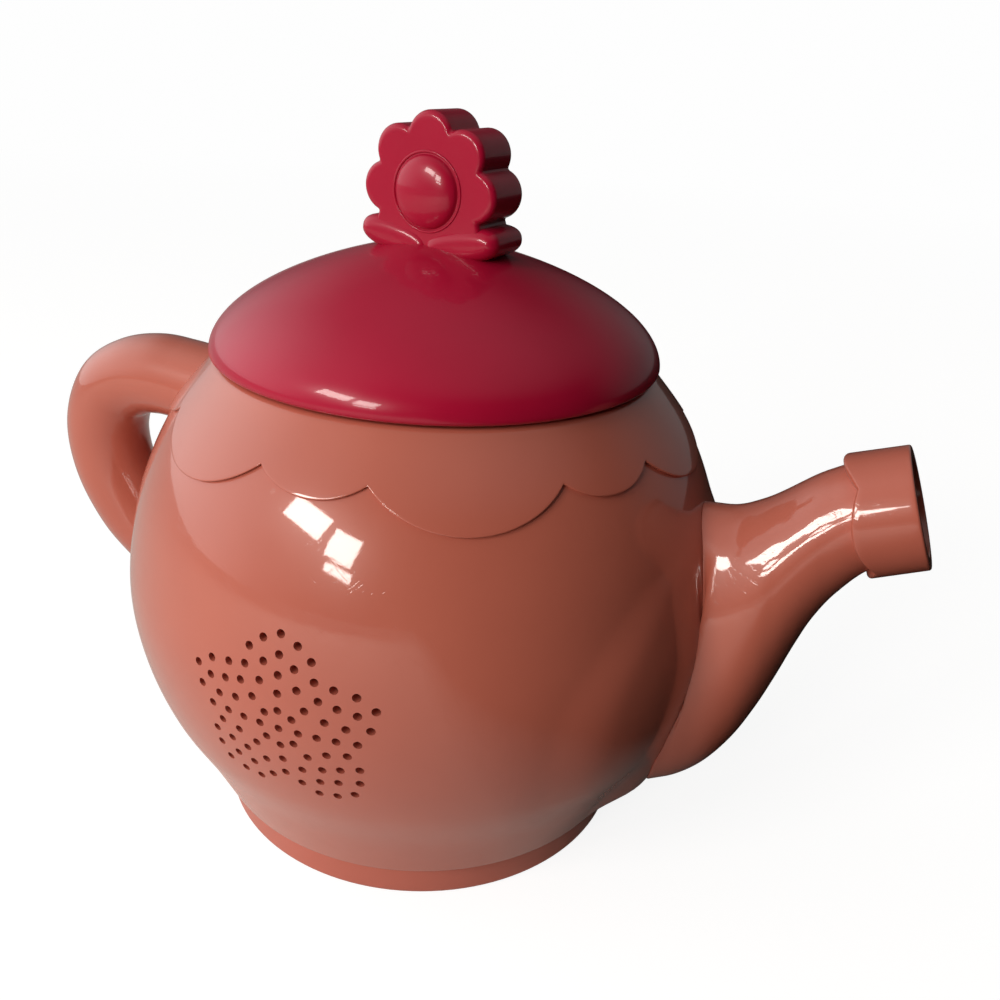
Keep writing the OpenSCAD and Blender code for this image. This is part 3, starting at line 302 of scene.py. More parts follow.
@dataclass(frozen=True)
class Finish:
    """A surface: its colour, how far the colour wanders, its gloss and its fine relief.

    The relief is a noise of grain_mm, deep by depth_mm; streaks draws it out along one axis, as brushing,
    drawing or a roll does. The coat is the polished skin that a moulding takes from its tool.
    """

    name: str
    colour: str
    shade: str
    roughness: float
    metallic: float = 0.0
    ior: float = 1.5
    specular: float = 0.5
    coat: float = 0.0
    coat_roughness: float = 0.05
    wander_mm: float = 30.0
    grain_mm: float = 1.0
    depth_mm: float = 0.01
    streaks: tuple[float, float, float] = (1.0, 1.0, 1.0)
    rough_swing: float = 0.05
    scratches: float = 0.0
    wear: Wear = Wear()
    wander_low: float = 0.3
    wander_high: float = 0.7

    def surface(self, tree: bpy.types.NodeTree, spot: bpy.types.NodeSocket) -> dict:
        """Sockets of the shader: colour, roughness and normal."""
        wander = add(
            tree, "ShaderNodeTexNoise", {"Vector": spot, "Scale": per_mm(self.wander_mm), "Detail": 3.0}
        )
        share = ramp(tree, wander.outputs["Fac"], self.wander_low, self.wander_high)
        tone = two_tones(tree, share, self.colour, self.shade)
        drawn = add(tree, "ShaderNodeMapping", {"Vector": spot, "Scale": self.streaks})
        grain = add(
            tree, "ShaderNodeTexNoise",
            {"Vector": drawn.outputs["Vector"], "Scale": per_mm(self.grain_mm), "Detail": 2.0},
        )
        rough = add(
            tree, "ShaderNodeMapRange",
            {
                "Value": grain.outputs["Fac"],
                "To Min": self.roughness - self.rough_swing,
                "To Max": self.roughness + self.rough_swing,
            },
        )
        relief = add(
            tree, "ShaderNodeBump",
            {"Height": grain.outputs["Fac"], "Strength": 1.0, "Distance": self.depth_mm * MM},
        )
        if self.scratches:
            relief = self.worn(tree, spot, relief)
        return {
            "Base Color": tone,
            "Roughness": rough.outputs["Result"],
            "Normal": relief.outputs["Normal"],
            "Coat Normal": relief.outputs["Normal"],
        }

    def worn(
        self, tree: bpy.types.NodeTree, spot: bpy.types.NodeSocket, relief: bpy.types.Node
    ) -> bpy.types.Node:
        """Adds hair scratches of play: long thin noises in four lays, kept where a coarse noise is high.

        Args:
            tree: the material's nodes.
            spot: Object coordinates.
            relief: the bump so far.

        Returns:
            The bump with the scratches.
        """
        wear = self.wear
        for turn, seed in wear.lays:
            lay = add(
                tree, "ShaderNodeMapping",
                {"Vector": spot, "Rotation": (wear.tip * turn, turn, 0.0), "Location": (seed, 0.0, seed)},
            ).outputs["Vector"]
            thin = add(tree, "ShaderNodeMapping", {"Vector": lay, "Scale": wear.drawn})
            hairs = add(
                tree, "ShaderNodeTexNoise",
                {
                    "Vector": thin.outputs["Vector"], "Scale": per_mm(wear.hair_mm), "Detail": 1.0,
                    "Distortion": wear.wobble,
                },
            )
            patch = add(tree, "ShaderNodeTexNoise", {"Vector": lay, "Scale": per_mm(wear.patch_mm)})
            kept = add(
                tree, "ShaderNodeMath",
                {
                    0: ramp(tree, hairs.outputs["Fac"], wear.hair_from, wear.hair_full),
                    1: ramp(tree, patch.outputs["Fac"], wear.patch_from, wear.patch_full),
                },
                operation="MULTIPLY",
            )
            relief = add(
                tree, "ShaderNodeBump",
                {
                    "Height": kept.outputs["Value"], "Strength": self.scratches,
                    "Distance": wear.depth_mm * MM, "Normal": relief.outputs["Normal"],
                },
                invert=True,
            )
        return relief

    def material(self) -> bpy.types.Material:
        """Builds the material once."""
        made = bpy.data.materials.get(self.name)
        if made:
            return made
        made = bpy.data.materials.new(self.name)
        made.use_nodes = True
        tree = made.node_tree
        tree.nodes.clear()
        spot = add(tree, "ShaderNodeTexCoord").outputs["Object"]
        sockets = self.surface(tree, spot)
        sockets |= {"Metallic": self.metallic, "IOR": self.ior, "Specular IOR Level": self.specular}
        sockets |= {"Coat Weight": self.coat, "Coat Roughness": self.coat_roughness, "Coat IOR": self.ior}
        shader = add(tree, "ShaderNodeBsdfPrincipled", sockets)
        add(tree, "ShaderNodeOutputMaterial", {"Surface": shader.outputs["BSDF"]})
        return made


# Glossy ABS, moulded against a polished tool: a mirror-like skin over a softer body, faint flow waves and
# hair scratches.
CLAY = Finish(
    "clay_abs", "#C56B57", "#BC6452", 0.34, ior=1.54, specular=0.2, coat=0.9, wander_mm=45, grain_mm=3.5,
    depth_mm=0.012, rough_swing=0.04, scratches=0.4,
)
# The foot's and battery cover's clay: the body's clay painted a little lighter, a lit copy that stands in for
# light falling on the foot.
CLAY_PAINTED_LIGHTER = Finish(
    "clay_painted_lighter_abs", "#C87060", "#BF6957", 0.36, ior=1.54, specular=0.2, coat=0.5, wander_mm=30, grain_mm=2.5,
    depth_mm=0.01, rough_swing=0.04, scratches=0.3,
)
CRIMSON = Finish(
    "crimson_abs", "#B41338", "#A91032", 0.3, ior=1.5, specular=0.2, coat=0.42, wander_mm=40, grain_mm=3.5,
    depth_mm=0.01, rough_swing=0.04, scratches=0.3,
)
# Zinc-plated steel, turned: a soft metal gleam with fine rings.
STEEL = Finish(
    "zinc_steel", "#B9BCBF", "#A7AAAD", 0.32, metallic=1.0, wander_mm=2, grain_mm=0.3, depth_mm=0.01
)
# Ground bearing steel.
BALL_STEEL = Finish(
    "bearing_steel", "#C9CCD0", "#BFC2C6", 0.1, metallic=1.0, wander_mm=2, grain_mm=0.4, depth_mm=0.002
)
# Pressed galvanised sheet: spangled, half matt.
FRAME_STEEL = Finish(
    "pressed_sheet_steel", "#8F9499", "#7E8388", 0.42, metallic=1.0, wander_mm=4, grain_mm=1.2, depth_mm=0.01
)
# Treated paper pulp: matt, fibrous.
CONE_PAPER = Finish(
    "cone_paper", "#303033", "#232326", 0.75, ior=1.45, wander_mm=2, grain_mm=0.35, depth_mm=0.05
)
# Sintered ferrite: dark, dull, gritty.
FERRITE = Finish(
    "sintered_ferrite", "#4A4C50", "#3C3E42", 0.55, ior=1.8, wander_mm=3, grain_mm=0.3, depth_mm=0.03
)
# Closed-cell foam tape.
FOAM = Finish("cell_foam", "#2A2A2C", "#1E1E20", 0.9, ior=1.4, wander_mm=1.5, grain_mm=0.4, depth_mm=0.12)
# Epoxy glass laminate under solder resist: green gloss over a woven grain.
LAMINATE = Finish(
    "resist_laminate", "#1F6B3A", "#195A30", 0.3, ior=1.52, wander_mm=6, grain_mm=0.5, depth_mm=0.02,
    streaks=(1.0, 0.25, 1.0),
)
# Moulded epoxy and nylon, satin.
BLACK_PLASTIC = Finish(
    "satin_black_nylon", "#232426", "#1B1C1E", 0.45, ior=1.53, wander_mm=5, grain_mm=0.5, depth_mm=0.02
)
WHITE_PLASTIC = Finish(
    "satin_white_abs", "#E8E6E0", "#DEDCD5", 0.38, ior=1.54, wander_mm=5, grain_mm=0.6, depth_mm=0.015
)
# Printed shrink sleeve.
BLUE_SLEEVE = Finish(
    "blue_shrink_sleeve", "#2B4C8C", "#254279", 0.3, ior=1.48, wander_mm=3, grain_mm=0.8, depth_mm=0.01
)
CELL_WRAP = Finish(
    "cell_wrap", "#5A6670", "#4E5962", 0.28, metallic=0.4, wander_mm=12, grain_mm=2.0, depth_mm=0.01
)
# Tinned spring steel, drawn.
TIN = Finish(
    "tinned_steel", "#D3D1CA", "#C4C2BA", 0.25, metallic=1.0, wander_mm=2, grain_mm=0.4, depth_mm=0.008
)
# Soft vinyl over stranded copper.
RED_VINYL = Finish("red_vinyl", "#B3262B", "#A12025", 0.4, ior=1.52, wander_mm=3, grain_mm=0.6, depth_mm=0.02)
BLACK_VINYL = Finish(
    "black_vinyl", "#222224", "#19191B", 0.4, ior=1.52, wander_mm=3, grain_mm=0.6, depth_mm=0.02
)


def finish_piece(
    piece: bpy.types.Object, finish: Finish, body: str, slot: str, stands_for: Sequence[str] = ()
) -> bpy.types.Object:
    """Dresses a piece and puts it on its body.

    Args:
        piece: the finished form.
        finish: its surface.
        body: the CAD body that it moves with.
        slot: the record's material slot; not used.
        stands_for: CAD nodes that it replaces.

    Returns:
        The piece.
    """
    piece.data.materials.clear()
    piece.data.materials.append(finish.material())
    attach(piece, body)
    if stands_for:
        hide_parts(*stands_for)
    log.info("%s: %d faces on %s", piece.name, len(piece.data.polygons), body)
    return piece


# Pot


@dataclass(frozen=True)
class PotSide:
    """Outside of the pot: its radius at each height and the swelling under the spout."""

    belly_r: float = 63.98
    low_z: float = 8.0
    height: float = 94.5
    shares: tuple[float, ...] = (0.75, 0.834, 0.925, 0.98, 1, 0.9775, 0.926, 0.833, 0.68)
    root: tuple[tuple[float, float], ...] = (
        (8.2, 0.0), (10.0, 2.4), (13.0, 4.6), (18.0, 4.7), (27.0, 3.0), (34.0, 1.2), (42.0, 0.3), (52.0, 0.0)
    )
    root_full: float = math.radians(4)
    root_fade: float = math.radians(22)
    swell: tuple[tuple[float, float], ...] = (
        (10.0, 0.0), (20.0, 0.4), (32.0, 0.9), (46.0, 1.15), (58.0, 1.05), (68.0, 0.8), (76.0, 0.4),
        (81.0, 0.0),
    )
    swell_edge: tuple[tuple[float, float], ...] = (
        (20.0, 40.0), (32.0, 45.0), (46.0, 47.0), (56.0, 46.0), (65.0, 40.0), (73.0, 31.0), (79.0, 18.0)
    )
    swell_run: float = 13.0

    def radius(self, z: float) -> float:
        """Radius of the round pot at height z."""
        return self.belly_r * along([(s,) for s in self.shares], (z - self.low_z) / self.height)[0]

    def proud(self, turn: float, z: float) -> float:
        """How far the spout's foot and the broad swelling round it stand out at an angle from +X."""
        away = abs((turn + math.pi) % FULL_TURN - math.pi)
        edge = math.radians(eased(self.swell_edge, z))
        if away >= edge:
            return 0.0
        fade = min(1.0, max(0.0, (away - self.root_full) / (self.root_fade - self.root_full)))
        rise = min(1.0, (edge - away) / math.radians(self.swell_run))
        return (
            eased(self.root, z) * math.cos(fade * math.pi / 2) ** 2
            + eased(self.swell, z) * rise * rise * (3 - 2 * rise)
        )

    def gap(self, p: Vector, collar: "CollarSize | None" = None) -> float:
        """Distance of a point out from the pot's side, or from its collar where there is one."""
        step = collar.step if collar and p.z > collar.low_z else 0.0
        return math.hypot(p.x, p.y) - self.radius(p.z) - self.proud(math.atan2(p.y, p.x), p.z) - step

    def meet(self, p: Vector, way: Vector, reach: float, collar: "CollarSize | None" = None) -> Vector:
        """Where a line from p along way, within reach, meets the pot."""
        near, far = 0.0, reach
        for _ in range(30):
            middle = (near + far) / 2
            if self.gap(p + middle * way, collar) > 0:
                near = middle
            else:
                far = middle
        return p + near * way


@dataclass(frozen=True)
class CollarSize:
    """Scalloped ring round the pot's shoulder."""

    step: float = 0.9
    top_z: float = 102.3
    cusp_z: float = 94.0
    lobes: int = 6
    big_half: float = 18.7
    small_half: float = 11.3
    big_drop: float = 6.3
    small_drop: float = 3.0
    inner_r: float = 38.6
    lip_t: float = 0.9
    low_round: float = 0.34
    top_round: float = 0.6
    round_steps: int = 4
    side_rows: int = 26
    big_columns: int = 72
    small_columns: int = 44
    seat: float = 0.25

    @property
    def low_z(self) -> float:
        """Height of the large lobes' lowest points."""
        return self.cusp_z - self.big_drop


class Pot:
    """The two shells of the pot with the speaker grille, and the collar."""

    wall = 2.4
    neck_r = 40.48
    neck_z = 97.5
    flange_z = 99.9
    foot_lip_r = 44.0
    foot_lip_t = 2.4
    edge = 0.7
    edge_steps = 5
    side_rows = 92
    inner_rows = 40
    turns = 256

    hole_r = 0.8
    hole_sides = 20
    drill_len = 18.0
    speaker_z = 51.3
    grille_r = 19.4
    grille_rings = (
        (0, 0, 0, 1), (0.196, 0, 0, 8), (0.374, 0, 0, 8), (0.49, 22.5, 0, 8), (0.554, 0, 0, 8),
        (0.665, 0, 13.4, 8), (0.747, 0, 0, 8), (0.809, 22.5, 0, 8), (0.881, 0, 11.2, 8),
        (0.938, 0, 0, 8), (0.979, 22.5, 0, 8),
    )
    petal_turns = ((0, 1), (10, 0.97), (20, 0.91), (32, 0.825), (36, 0.74))
    grille_petals = 5

    def __init__(self, side: PotSide, collar: CollarSize) -> None:
        """Keeps the sizes that the pot's pieces share."""
        self.side = side
        self.collar_size = collar

    def profile(self) -> list[tuple[float, float, bool]]:
        """Section of the shell, as (inset from the side, height, whether measured from the side)."""
        low, top = self.side.low_z, self.flange_z
        rounds = [(a, low + b, True) for a, b in reversed(quarter(self.edge, self.edge_steps))]
        outer = [
            (0.0, mix(low + self.edge, top, k / self.side_rows), True) for k in range(1, self.side_rows + 1)
        ]
        inner = [
            (self.wall, mix(self.neck_z, low + self.foot_lip_t, k / self.inner_rows), True)
            for k in range(self.inner_rows + 1)
        ]
        return (
            [(self.foot_lip_r, low, False)] + rounds + outer
            + [(self.neck_r, top, False), (self.neck_r, self.neck_z, False)] + inner
            + [(self.foot_lip_r, low + self.foot_lip_t, False)]
        )

    def skin(self) -> bmesh.types.BMesh:
        """The whole pot, uncut."""
        rows = self.profile()

        def place(share: float, row: int) -> Vector:
            turn = share * FULL_TURN
            inset, z, from_side = rows[row]
            r = self.side.radius(z) + self.side.proud(turn, z) - inset if from_side else inset
            return Vector((r * math.cos(turn), r * math.sin(turn), z))

        return spun_skin(len(rows), self.turns, place, closed=True)

    def petal_reach(self, degrees: float) -> float:
        """Reach of the grille's flower at an angle, as a share of its radius."""
        step = 360 / self.grille_petals
        away = abs(((degrees - 90) % step + 1.5 * step) % step - step / 2)
        for (a, low), (b, high) in zip(self.petal_turns, self.petal_turns[1:]):
            if away <= b:
                return mix(low, high, (away - a) / (b - a))
        return self.petal_turns[-1][1]

    def holes(self) -> list[tuple[float, float]]:
        """Centres of the grille's holes across its face."""
        found = []
        for share, first, spread, count in self.grille_rings:
            for k in range(count):
                for way in (-1, 1) if spread else (0,):
                    a = first + 360 * k / count + way * spread
                    if share <= self.petal_reach(a):
                        r = share * self.grille_r
                        found.append((r * math.cos(math.radians(a)), r * math.sin(math.radians(a))))
        return found

    def drills(self) -> bpy.types.Object:
        """One form of all the grille's holes, to cut with."""
        bm = bmesh.new()
        face_y = -self.side.belly_r
        for x, z in self.holes():
            lay = Matrix.Translation((x, face_y, self.speaker_z + z)) @ Matrix.Rotation(math.pi / 2, 4, "X")
            bmesh.ops.create_cone(
                bm, cap_ends=True, segments=self.hole_sides, radius1=self.hole_r, radius2=self.hole_r,
                depth=self.drill_len, matrix=lay,
            )
        return new_object(bm, "grille_drills")

    def build(self) -> None:
        """Makes both shells and the collar."""
        skin = self.skin()
        book = SmoothBook(skin)
        for side, name, node in (
            (Side.FRONT, "pot_shell_front", "body_front"), (Side.REAR, "pot_shell_rear", "body_rear")
        ):
            shell = new_object(half_of(skin, side), name)
            if side is Side.FRONT:
                cut_away(shell, self.drills())
            book.dress(shell.data)
            finish_piece(shell, CLAY, "pot", "clay_gloss", [node])
        skin.free()
        self.collar()

    def scallop_z(self, turn: float) -> float:
        """Height of the collar's lower edge at an angle from +X."""
        size = self.collar_size
        edge = size.cusp_z
        reach = self.side.radius(size.cusp_z)
        step = FULL_TURN / size.lobes
        for offset, half_angle, drop in (
            (0.0, size.big_half, size.big_drop), (0.5, size.small_half, size.small_drop)
        ):
            away = (turn / step - offset + 0.5) % 1.0 - 0.5
            half = reach * math.sin(math.radians(half_angle))
            radius = (half * half + drop * drop) / (2 * drop)
            across = reach * math.sin(away * step)
            if abs(across) < half:
                edge = min(edge, size.cusp_z - drop + radius - math.sqrt(radius * radius - across * across))
        return edge

    def collar_turns(self) -> list[float]:
        """Angles of the collar's columns: the cusps between its lobes are among them."""
        size = self.collar_size
        turns = []
        for lobe in range(size.lobes):
            middle = 360 / size.lobes * lobe
            big, small = size.big_columns, size.small_columns
            turns += [middle + size.big_half * (2 * k / big - 1) for k in range(big)]
            turns += [middle + size.big_half + 2 * size.small_half * k / small for k in range(small)]
        return [math.radians(t) for t in turns]

    def collar(self) -> bpy.types.Object:
        """The scalloped shoulder ring, with a soft lower edge."""
        size, side = self.collar_size, self.side
        turns = self.collar_turns()
        low = list(reversed(quarter(size.low_round, size.round_steps)))
        top = quarter(size.top_round, size.round_steps)
        rows = 1 + len(low) + size.side_rows + len(top) + 3

        def place(share: float, row: int) -> Vector:
            turn = turns[round(share * len(turns)) % len(turns)]
            edge_z = self.scallop_z(turn)
            z0, z1 = edge_z + size.low_round, size.top_z - size.top_round
            if row == 0:
                z = edge_z
                r = side.radius(z) - size.seat
            elif row <= len(low):
                inset, up = low[row - 1]
                z = edge_z + up
                r = side.radius(z) + size.step - inset
            elif row <= len(low) + size.side_rows:
                z = mix(z0, z1, (row - len(low)) / (size.side_rows + 1))
                r = side.radius(z) + size.step
            elif row <= len(low) + size.side_rows + len(top):
                inset, down = top[row - len(low) - size.side_rows - 1]
                z = size.top_z - down
                r = side.radius(z) + size.step - inset
            else:
                last = row - len(low) - size.side_rows - len(top)
                z = size.top_z if last == 1 else size.top_z - size.lip_t
                r = side.radius(z) - size.seat if last == 3 else size.inner_r
            return Vector((r * math.cos(turn), r * math.sin(turn), z))

        piece = new_object(spun_skin(rows, len(turns), place, closed=True), "collar_scalloped")
        sharpen(piece)
        return finish_piece(piece, CLAY, "pot", "clay_gloss", ["collar"])


# Handle


@dataclass(frozen=True)
class Handle:
    """The hollow handle, two half tubes that meet on y = 0."""

    reach: float = 87.3
    top_z: float = 85.5
    low_z: float = 33.0
    grip_r: float = 9.4
    line: tuple[tuple[float, float, float], ...] = (
        (0.709, 1.015, 1), (0.795, 1.02, 1), (0.881, 0.99, 0.98), (0.957, 0.905, 0.98), (0.998, 0.73, 1),
        (0.985, 0.53, 1), (0.93, 0.345, 0.98), (0.864, 0.225, 0.95), (0.796, 0.133, 0.91),
    )
    top_slope: float = math.radians(-5)
    low_slope: float = math.radians(-20)
    stations: int = 96
    turns: int = 72
    sink: float = 0.15
    lean_step: float = 0.02
    end_rows: int = 2

    def at(self, s: float) -> tuple[float, float, float]:
        """(x, z, radius) at share s of the centre line."""
        x, z, r = along(self.line, s)
        return -x * self.reach, mix(self.low_z, self.top_z, z), r * self.grip_r

    def ring_point(self, s: float, turn: float) -> Vector:
        """Point of the tube's skin."""
        ax, az, _ = self.at(max(0.0, s - self.lean_step))
        bx, bz, _ = self.at(min(1.0, s + self.lean_step))
        lean = math.atan2(bz - az, bx - ax) + math.pi / 2
        x, z, r = self.at(s)
        across = r * math.cos(turn)
        return Vector((x + across * math.cos(lean), -r * math.sin(turn), z + across * math.sin(lean)))

    def build(self, side: PotSide, collar: CollarSize) -> None:
        """Makes both half tubes.

        Args:
            side: the pot that the handle's ends meet.
            collar: the collar that its upper end crosses.
        """
        last = self.stations + 2 * self.end_rows

        def place(share: float, row: int) -> Vector:
            turn = share * FULL_TURN
            if self.end_rows <= row <= last - self.end_rows:
                return self.ring_point((row - self.end_rows) / self.stations, turn)
            s, slope = (0.0, self.top_slope) if row < self.end_rows else (1.0, self.low_slope)
            way = Vector((math.cos(slope), 0.0, math.sin(slope)))
            if row in (0, last):
                x, z, _ = self.at(s)
                return side.meet(Vector((x, 0.0, z)), way, self.reach / 2, collar) + way
            return side.meet(self.ring_point(s, turn), way, self.reach / 2, collar) + self.sink * way

        skin = spun_skin(last + 1, self.turns, place)
        book = SmoothBook(skin)
        for half, name, node in (
            (Side.FRONT, "handle_shell_front", "handle_front"),
            (Side.REAR, "handle_shell_rear", "handle_rear"),
        ):
            piece = new_object(half_of(skin, half), name)
            book.dress(piece.data)
            finish_piece(piece, CLAY, "pot", "clay_gloss", [node])
        skin.free()


# Spout


@dataclass(frozen=True)
class Spout:
    """The spout, from its egg-shaped root on the pot to the round end inside the cuff, and the cuff."""

    reach: float = 36.59
    x0: float = 61.0
    low_z: float = 13.0
    root_h: float = 68.0
    root_half_y: float = 14.6
    mouth_z: float = 88.6
    tilt: float = math.radians(21.5)
    end_r: float = 10.1
    wall: float = 1.8
    sections: tuple[tuple[float, float, float, float, float], ...] = (
        (0.068, 0.903, 0.03, 0.05, 1.04), (0.137, 0.911, 0.178, 0.125, 1.055),
        (0.205, 0.927, 0.309, 0.231, 1.04), (0.273, 0.947, 0.404, 0.344, 0.99),
        (0.342, 0.973, 0.475, 0.45, 0.91), (0.41, 1.001, 0.544, 0.566, 0.83),
        (0.478, 1.028, 0.607, 0.655, 0.77), (0.546, 1.05, 0.7, 0.741, 0.72),
    )
    cuff_len: float = 11.7
    cuff_r: float = 11.7
    cuff_drop: float = 2.2
    cuff_lobes: int = 4
    cuff_flare: float = 0.28
    cuff_edge: float = 0.55
    cuff_fit: float = 0.1
    bore_r: float = 9.3
    lip_len: float = 1.5
    turns: int = 112
    span_rows: int = 8
    groove: float = 0.45
    groove_steps: int = 3
    groove_sink: float = 0.12
    look_from: float = 20.0
    neck_in: float = 1.7
    end_gap: float = 0.2
    crease: float = 40.0
    cuff_turns: int = 144
    cuff_rows: int = 12
    cuff_steps: int = 5
    face_edge: float = 0.45
    face_steps: int = 4
    bore_edge: float = 0.3
    bore_steps: int = 3
    rear_bite: float = 0.05

    @property
    def mouth(self) -> Vector:
        """Centre of the mouth."""
        return Vector((self.x0 + self.reach, 0.0, self.mouth_z))

    def axes(self) -> tuple[Vector, Vector]:
        """Direction out of the mouth, and up across it."""
        c, s = math.cos(self.tilt), math.sin(self.tilt)
        return Vector((c, 0.0, s)), Vector((-s, 0.0, c))

    def round_at(self, back: float, turn: float, r: float) -> Vector:
        """Point of a round section behind the mouth."""
        out, up = self.axes()
        return self.mouth - back * out + r * (math.cos(turn) * Vector((0, 1, 0)) + math.sin(turn) * up)

    def section(self, row: Sequence[float], turn: float, inset: float) -> Vector:
        """Point of one of the oval sections."""
        top = Vector((self.x0 + row[0] * self.reach, 0.0, mix(self.low_z, self.mouth_z, row[1])))
        low = Vector((self.x0 + row[2] * self.reach, 0.0, mix(self.low_z, self.mouth_z, row[3])))
        up = (top - low).normalized()
        half = (top - low).length / 2 - inset
        wide = row[4] * self.root_half_y - inset
        return (top + low) / 2 + up * half * math.sin(turn) + Vector((0, wide * math.cos(turn), 0))

    def root(self, side: PotSide, turn: float, inset: float, out: float) -> Vector:
        """Point of the root's rim, out from the pot's side."""
        z = self.low_z + self.root_h / 2 + (self.root_h / 2 - inset) * math.sin(turn)
        y = (self.root_half_y - inset) * math.cos(turn)
        start = Vector((side.belly_r + self.look_from, y, z))
        return side.meet(start, Vector((-1, 0, 0)), side.belly_r) + Vector((out, 0, 0))

    def line(self, side: PotSide, turn: float, inset: float) -> list[Vector]:
        """Smooth line along the spout's skin from its root to its end."""
        knots = [self.root(side, turn, inset, self.groove)]
        knots += [self.section(row, turn, inset) for row in self.sections]
        knots += [self.round_at(self.cuff_len - self.neck_in, turn, self.end_r - inset)]
        knots += [self.round_at(self.lip_len + self.end_gap, turn, self.end_r - inset)]
        steps = self.span_rows * (len(knots) - 1)
        return [Vector(along(knots, k / steps)) for k in range(steps + 1)]

    def build(self, side: PotSide) -> None:
        """Makes the spout and its cuff on the pot."""
        lines: dict[int, list[Vector]] = {}
        rim = quarter(self.groove, self.groove_steps)

        def whole_line(column: int) -> list[Vector]:
            if column not in lines:
                turn = FULL_TURN * column / self.turns
                edge = [self.root(side, turn, a, b - self.groove_sink) for a, b in reversed(rim)][:-1]
                outer = self.line(side, turn, 0.0)
                inner = self.line(side, turn, self.wall)
                lines[column] = edge + outer + list(reversed(inner))
            return lines[column]

        def place(share: float, row: int) -> Vector:
            return whole_line(round(share * self.turns))[row]

        skin = spun_skin(len(whole_line(0)), self.turns, place, closed=True)
        piece = new_object(skin, "spout_shell")
        sharpen(piece, self.crease)
        finish_piece(piece, CLAY, "pot", "clay_gloss", ["spout"])
        self.cuff()

    def lobe_back(self, turn: float) -> float:
        """How far behind the mouth the cuff's rear edge lies at an angle."""
        half = self.cuff_r * math.sin(math.pi / self.cuff_lobes)
        radius = (half * half + self.cuff_drop**2) / (2 * self.cuff_drop)
        step = FULL_TURN / self.cuff_lobes
        away = (turn / step + 0.5) % 1.0 - 0.5
        across = self.cuff_r * math.sin(away * step)
        return self.cuff_len - radius + math.sqrt(radius * radius - across * across)

    def cuff(self) -> bpy.types.Object:
        """The ring round the mouth with a scalloped rear edge."""
        rear = quarter(self.cuff_edge, self.cuff_steps)
        front = quarter(self.face_edge, self.face_steps)
        lip = quarter(self.bore_edge, self.bore_steps)
        fit_r = self.end_r + self.cuff_fit

        def place(share: float, row: int) -> Vector:
            turn = share * FULL_TURN
            back = self.lobe_back(turn)
            low = self.cuff_r + self.cuff_flare
            rows = [(fit_r - self.rear_bite, back)]
            rows += [(low - a, back - b) for a, b in reversed(rear)]
            start, stop = back - self.cuff_edge, self.face_edge
            for k in range(1, self.cuff_rows):
                rows.append((mix(low, self.cuff_r, k / self.cuff_rows), mix(start, stop, k / self.cuff_rows)))
            rows += [(self.cuff_r - a, b) for a, b in front]
            rows += [(self.bore_r + a, b) for a, b in reversed(lip)]
            rows += [(self.bore_r, self.lip_len), (fit_r, self.lip_len)]
            r, b = rows[row]
            return self.round_at(b, turn, r)

        count = 1 + len(rear) + self.cuff_rows - 1 + len(front) + len(lip) + 2
        piece = new_object(spun_skin(count, self.cuff_turns, place, closed=True), "spout_cuff_ring")
        sharpen(piece)
        return finish_piece(piece, CLAY, "pot", "clay_gloss", ["spout_cuff"])


# Lid and knob


@dataclass(frozen=True)
class Lid:
    """The domed lid that the flower knob stands on."""

    radius: float = 45.6
    height: float = 23.5
    rim_z: float = 102.6
    roll_h: float = 1.3
    roll_w: float = 2.6
    across_power: float = 1.5
    up_power: float = 1.09
    wall: float = 2.4
    cavity_r: float = 37.8
    boss_r: float = 4.6
    boss_h: float = 2.0
    bore_r: float = 1.5
    boss_gap: float = 0.3
    dome_rows: int = 72
    roll_rows: int = 8
    cavity_rows: int = 24
    turns: int = 200
    crease: float = 30.0

    @property
    def crown_z(self) -> float:
        """Height of the lid's crown."""
        return self.rim_z + self.height

    def dome(self, radius: float, height: float, t: float) -> tuple[float, float]:
        """Point of a dome's curve, from its rim at 0 to its crown at 1."""
        a = math.pi / 2 * t
        return radius * max(0.0, math.cos(a)) ** self.across_power, height * math.sin(a) ** self.up_power

    def top_z(self, r: float) -> float:
        """Height of the lid's outside at a distance from its axis."""
        a = math.acos(min(1.0, max(0.0, r / self.radius) ** (1 / self.across_power)))
        return self.rim_z + self.roll_h + (self.height - self.roll_h) * math.sin(a) ** self.up_power

    def profile(self) -> list[tuple[float, float]]:
        """Section of the lid, from the crown's outside down, round the rim and up inside to the boss."""
        rise = self.height - self.roll_h
        outside = [self.dome(self.radius, rise, 1 - k / self.dome_rows) for k in range(self.dome_rows + 1)]
        points = [(r, self.rim_z + self.roll_h + z) for r, z in outside]
        points[0] = (self.bore_r, points[0][1])
        for k in range(1, self.roll_rows + 1):
            a = math.pi / 2 * (1 - k / self.roll_rows)
            points.append(
                (self.radius - self.roll_w * (1 - math.sin(a)), self.rim_z + self.roll_h * (1 - math.cos(a)))
            )
        points.append((self.cavity_r, self.rim_z))
        steps = self.cavity_rows
        inside = [self.dome(self.cavity_r, self.height - 2 * self.wall, k / steps) for k in range(steps)]
        points += [(r, self.rim_z + self.wall + z) for r, z in inside if r > self.boss_r + self.boss_gap]
        boss_z = self.crown_z - self.wall - self.boss_h
        points += [(self.boss_r, boss_z + self.boss_h), (self.boss_r, boss_z), (self.bore_r, boss_z)]
        return points

    def build(self) -> None:
        """Makes the lid's shell."""
        rows = self.profile()

        def place(share: float, row: int) -> Vector:
            r, z = rows[row]
            return Vector((r * math.cos(share * FULL_TURN), r * math.sin(share * FULL_TURN), z))

        piece = new_object(spun_skin(len(rows), self.turns, place, closed=True), "lid_dome")
        sharpen(piece, self.crease)
        finish_piece(piece, CRIMSON, "lid", "crimson_gloss", ["lid_shell"])


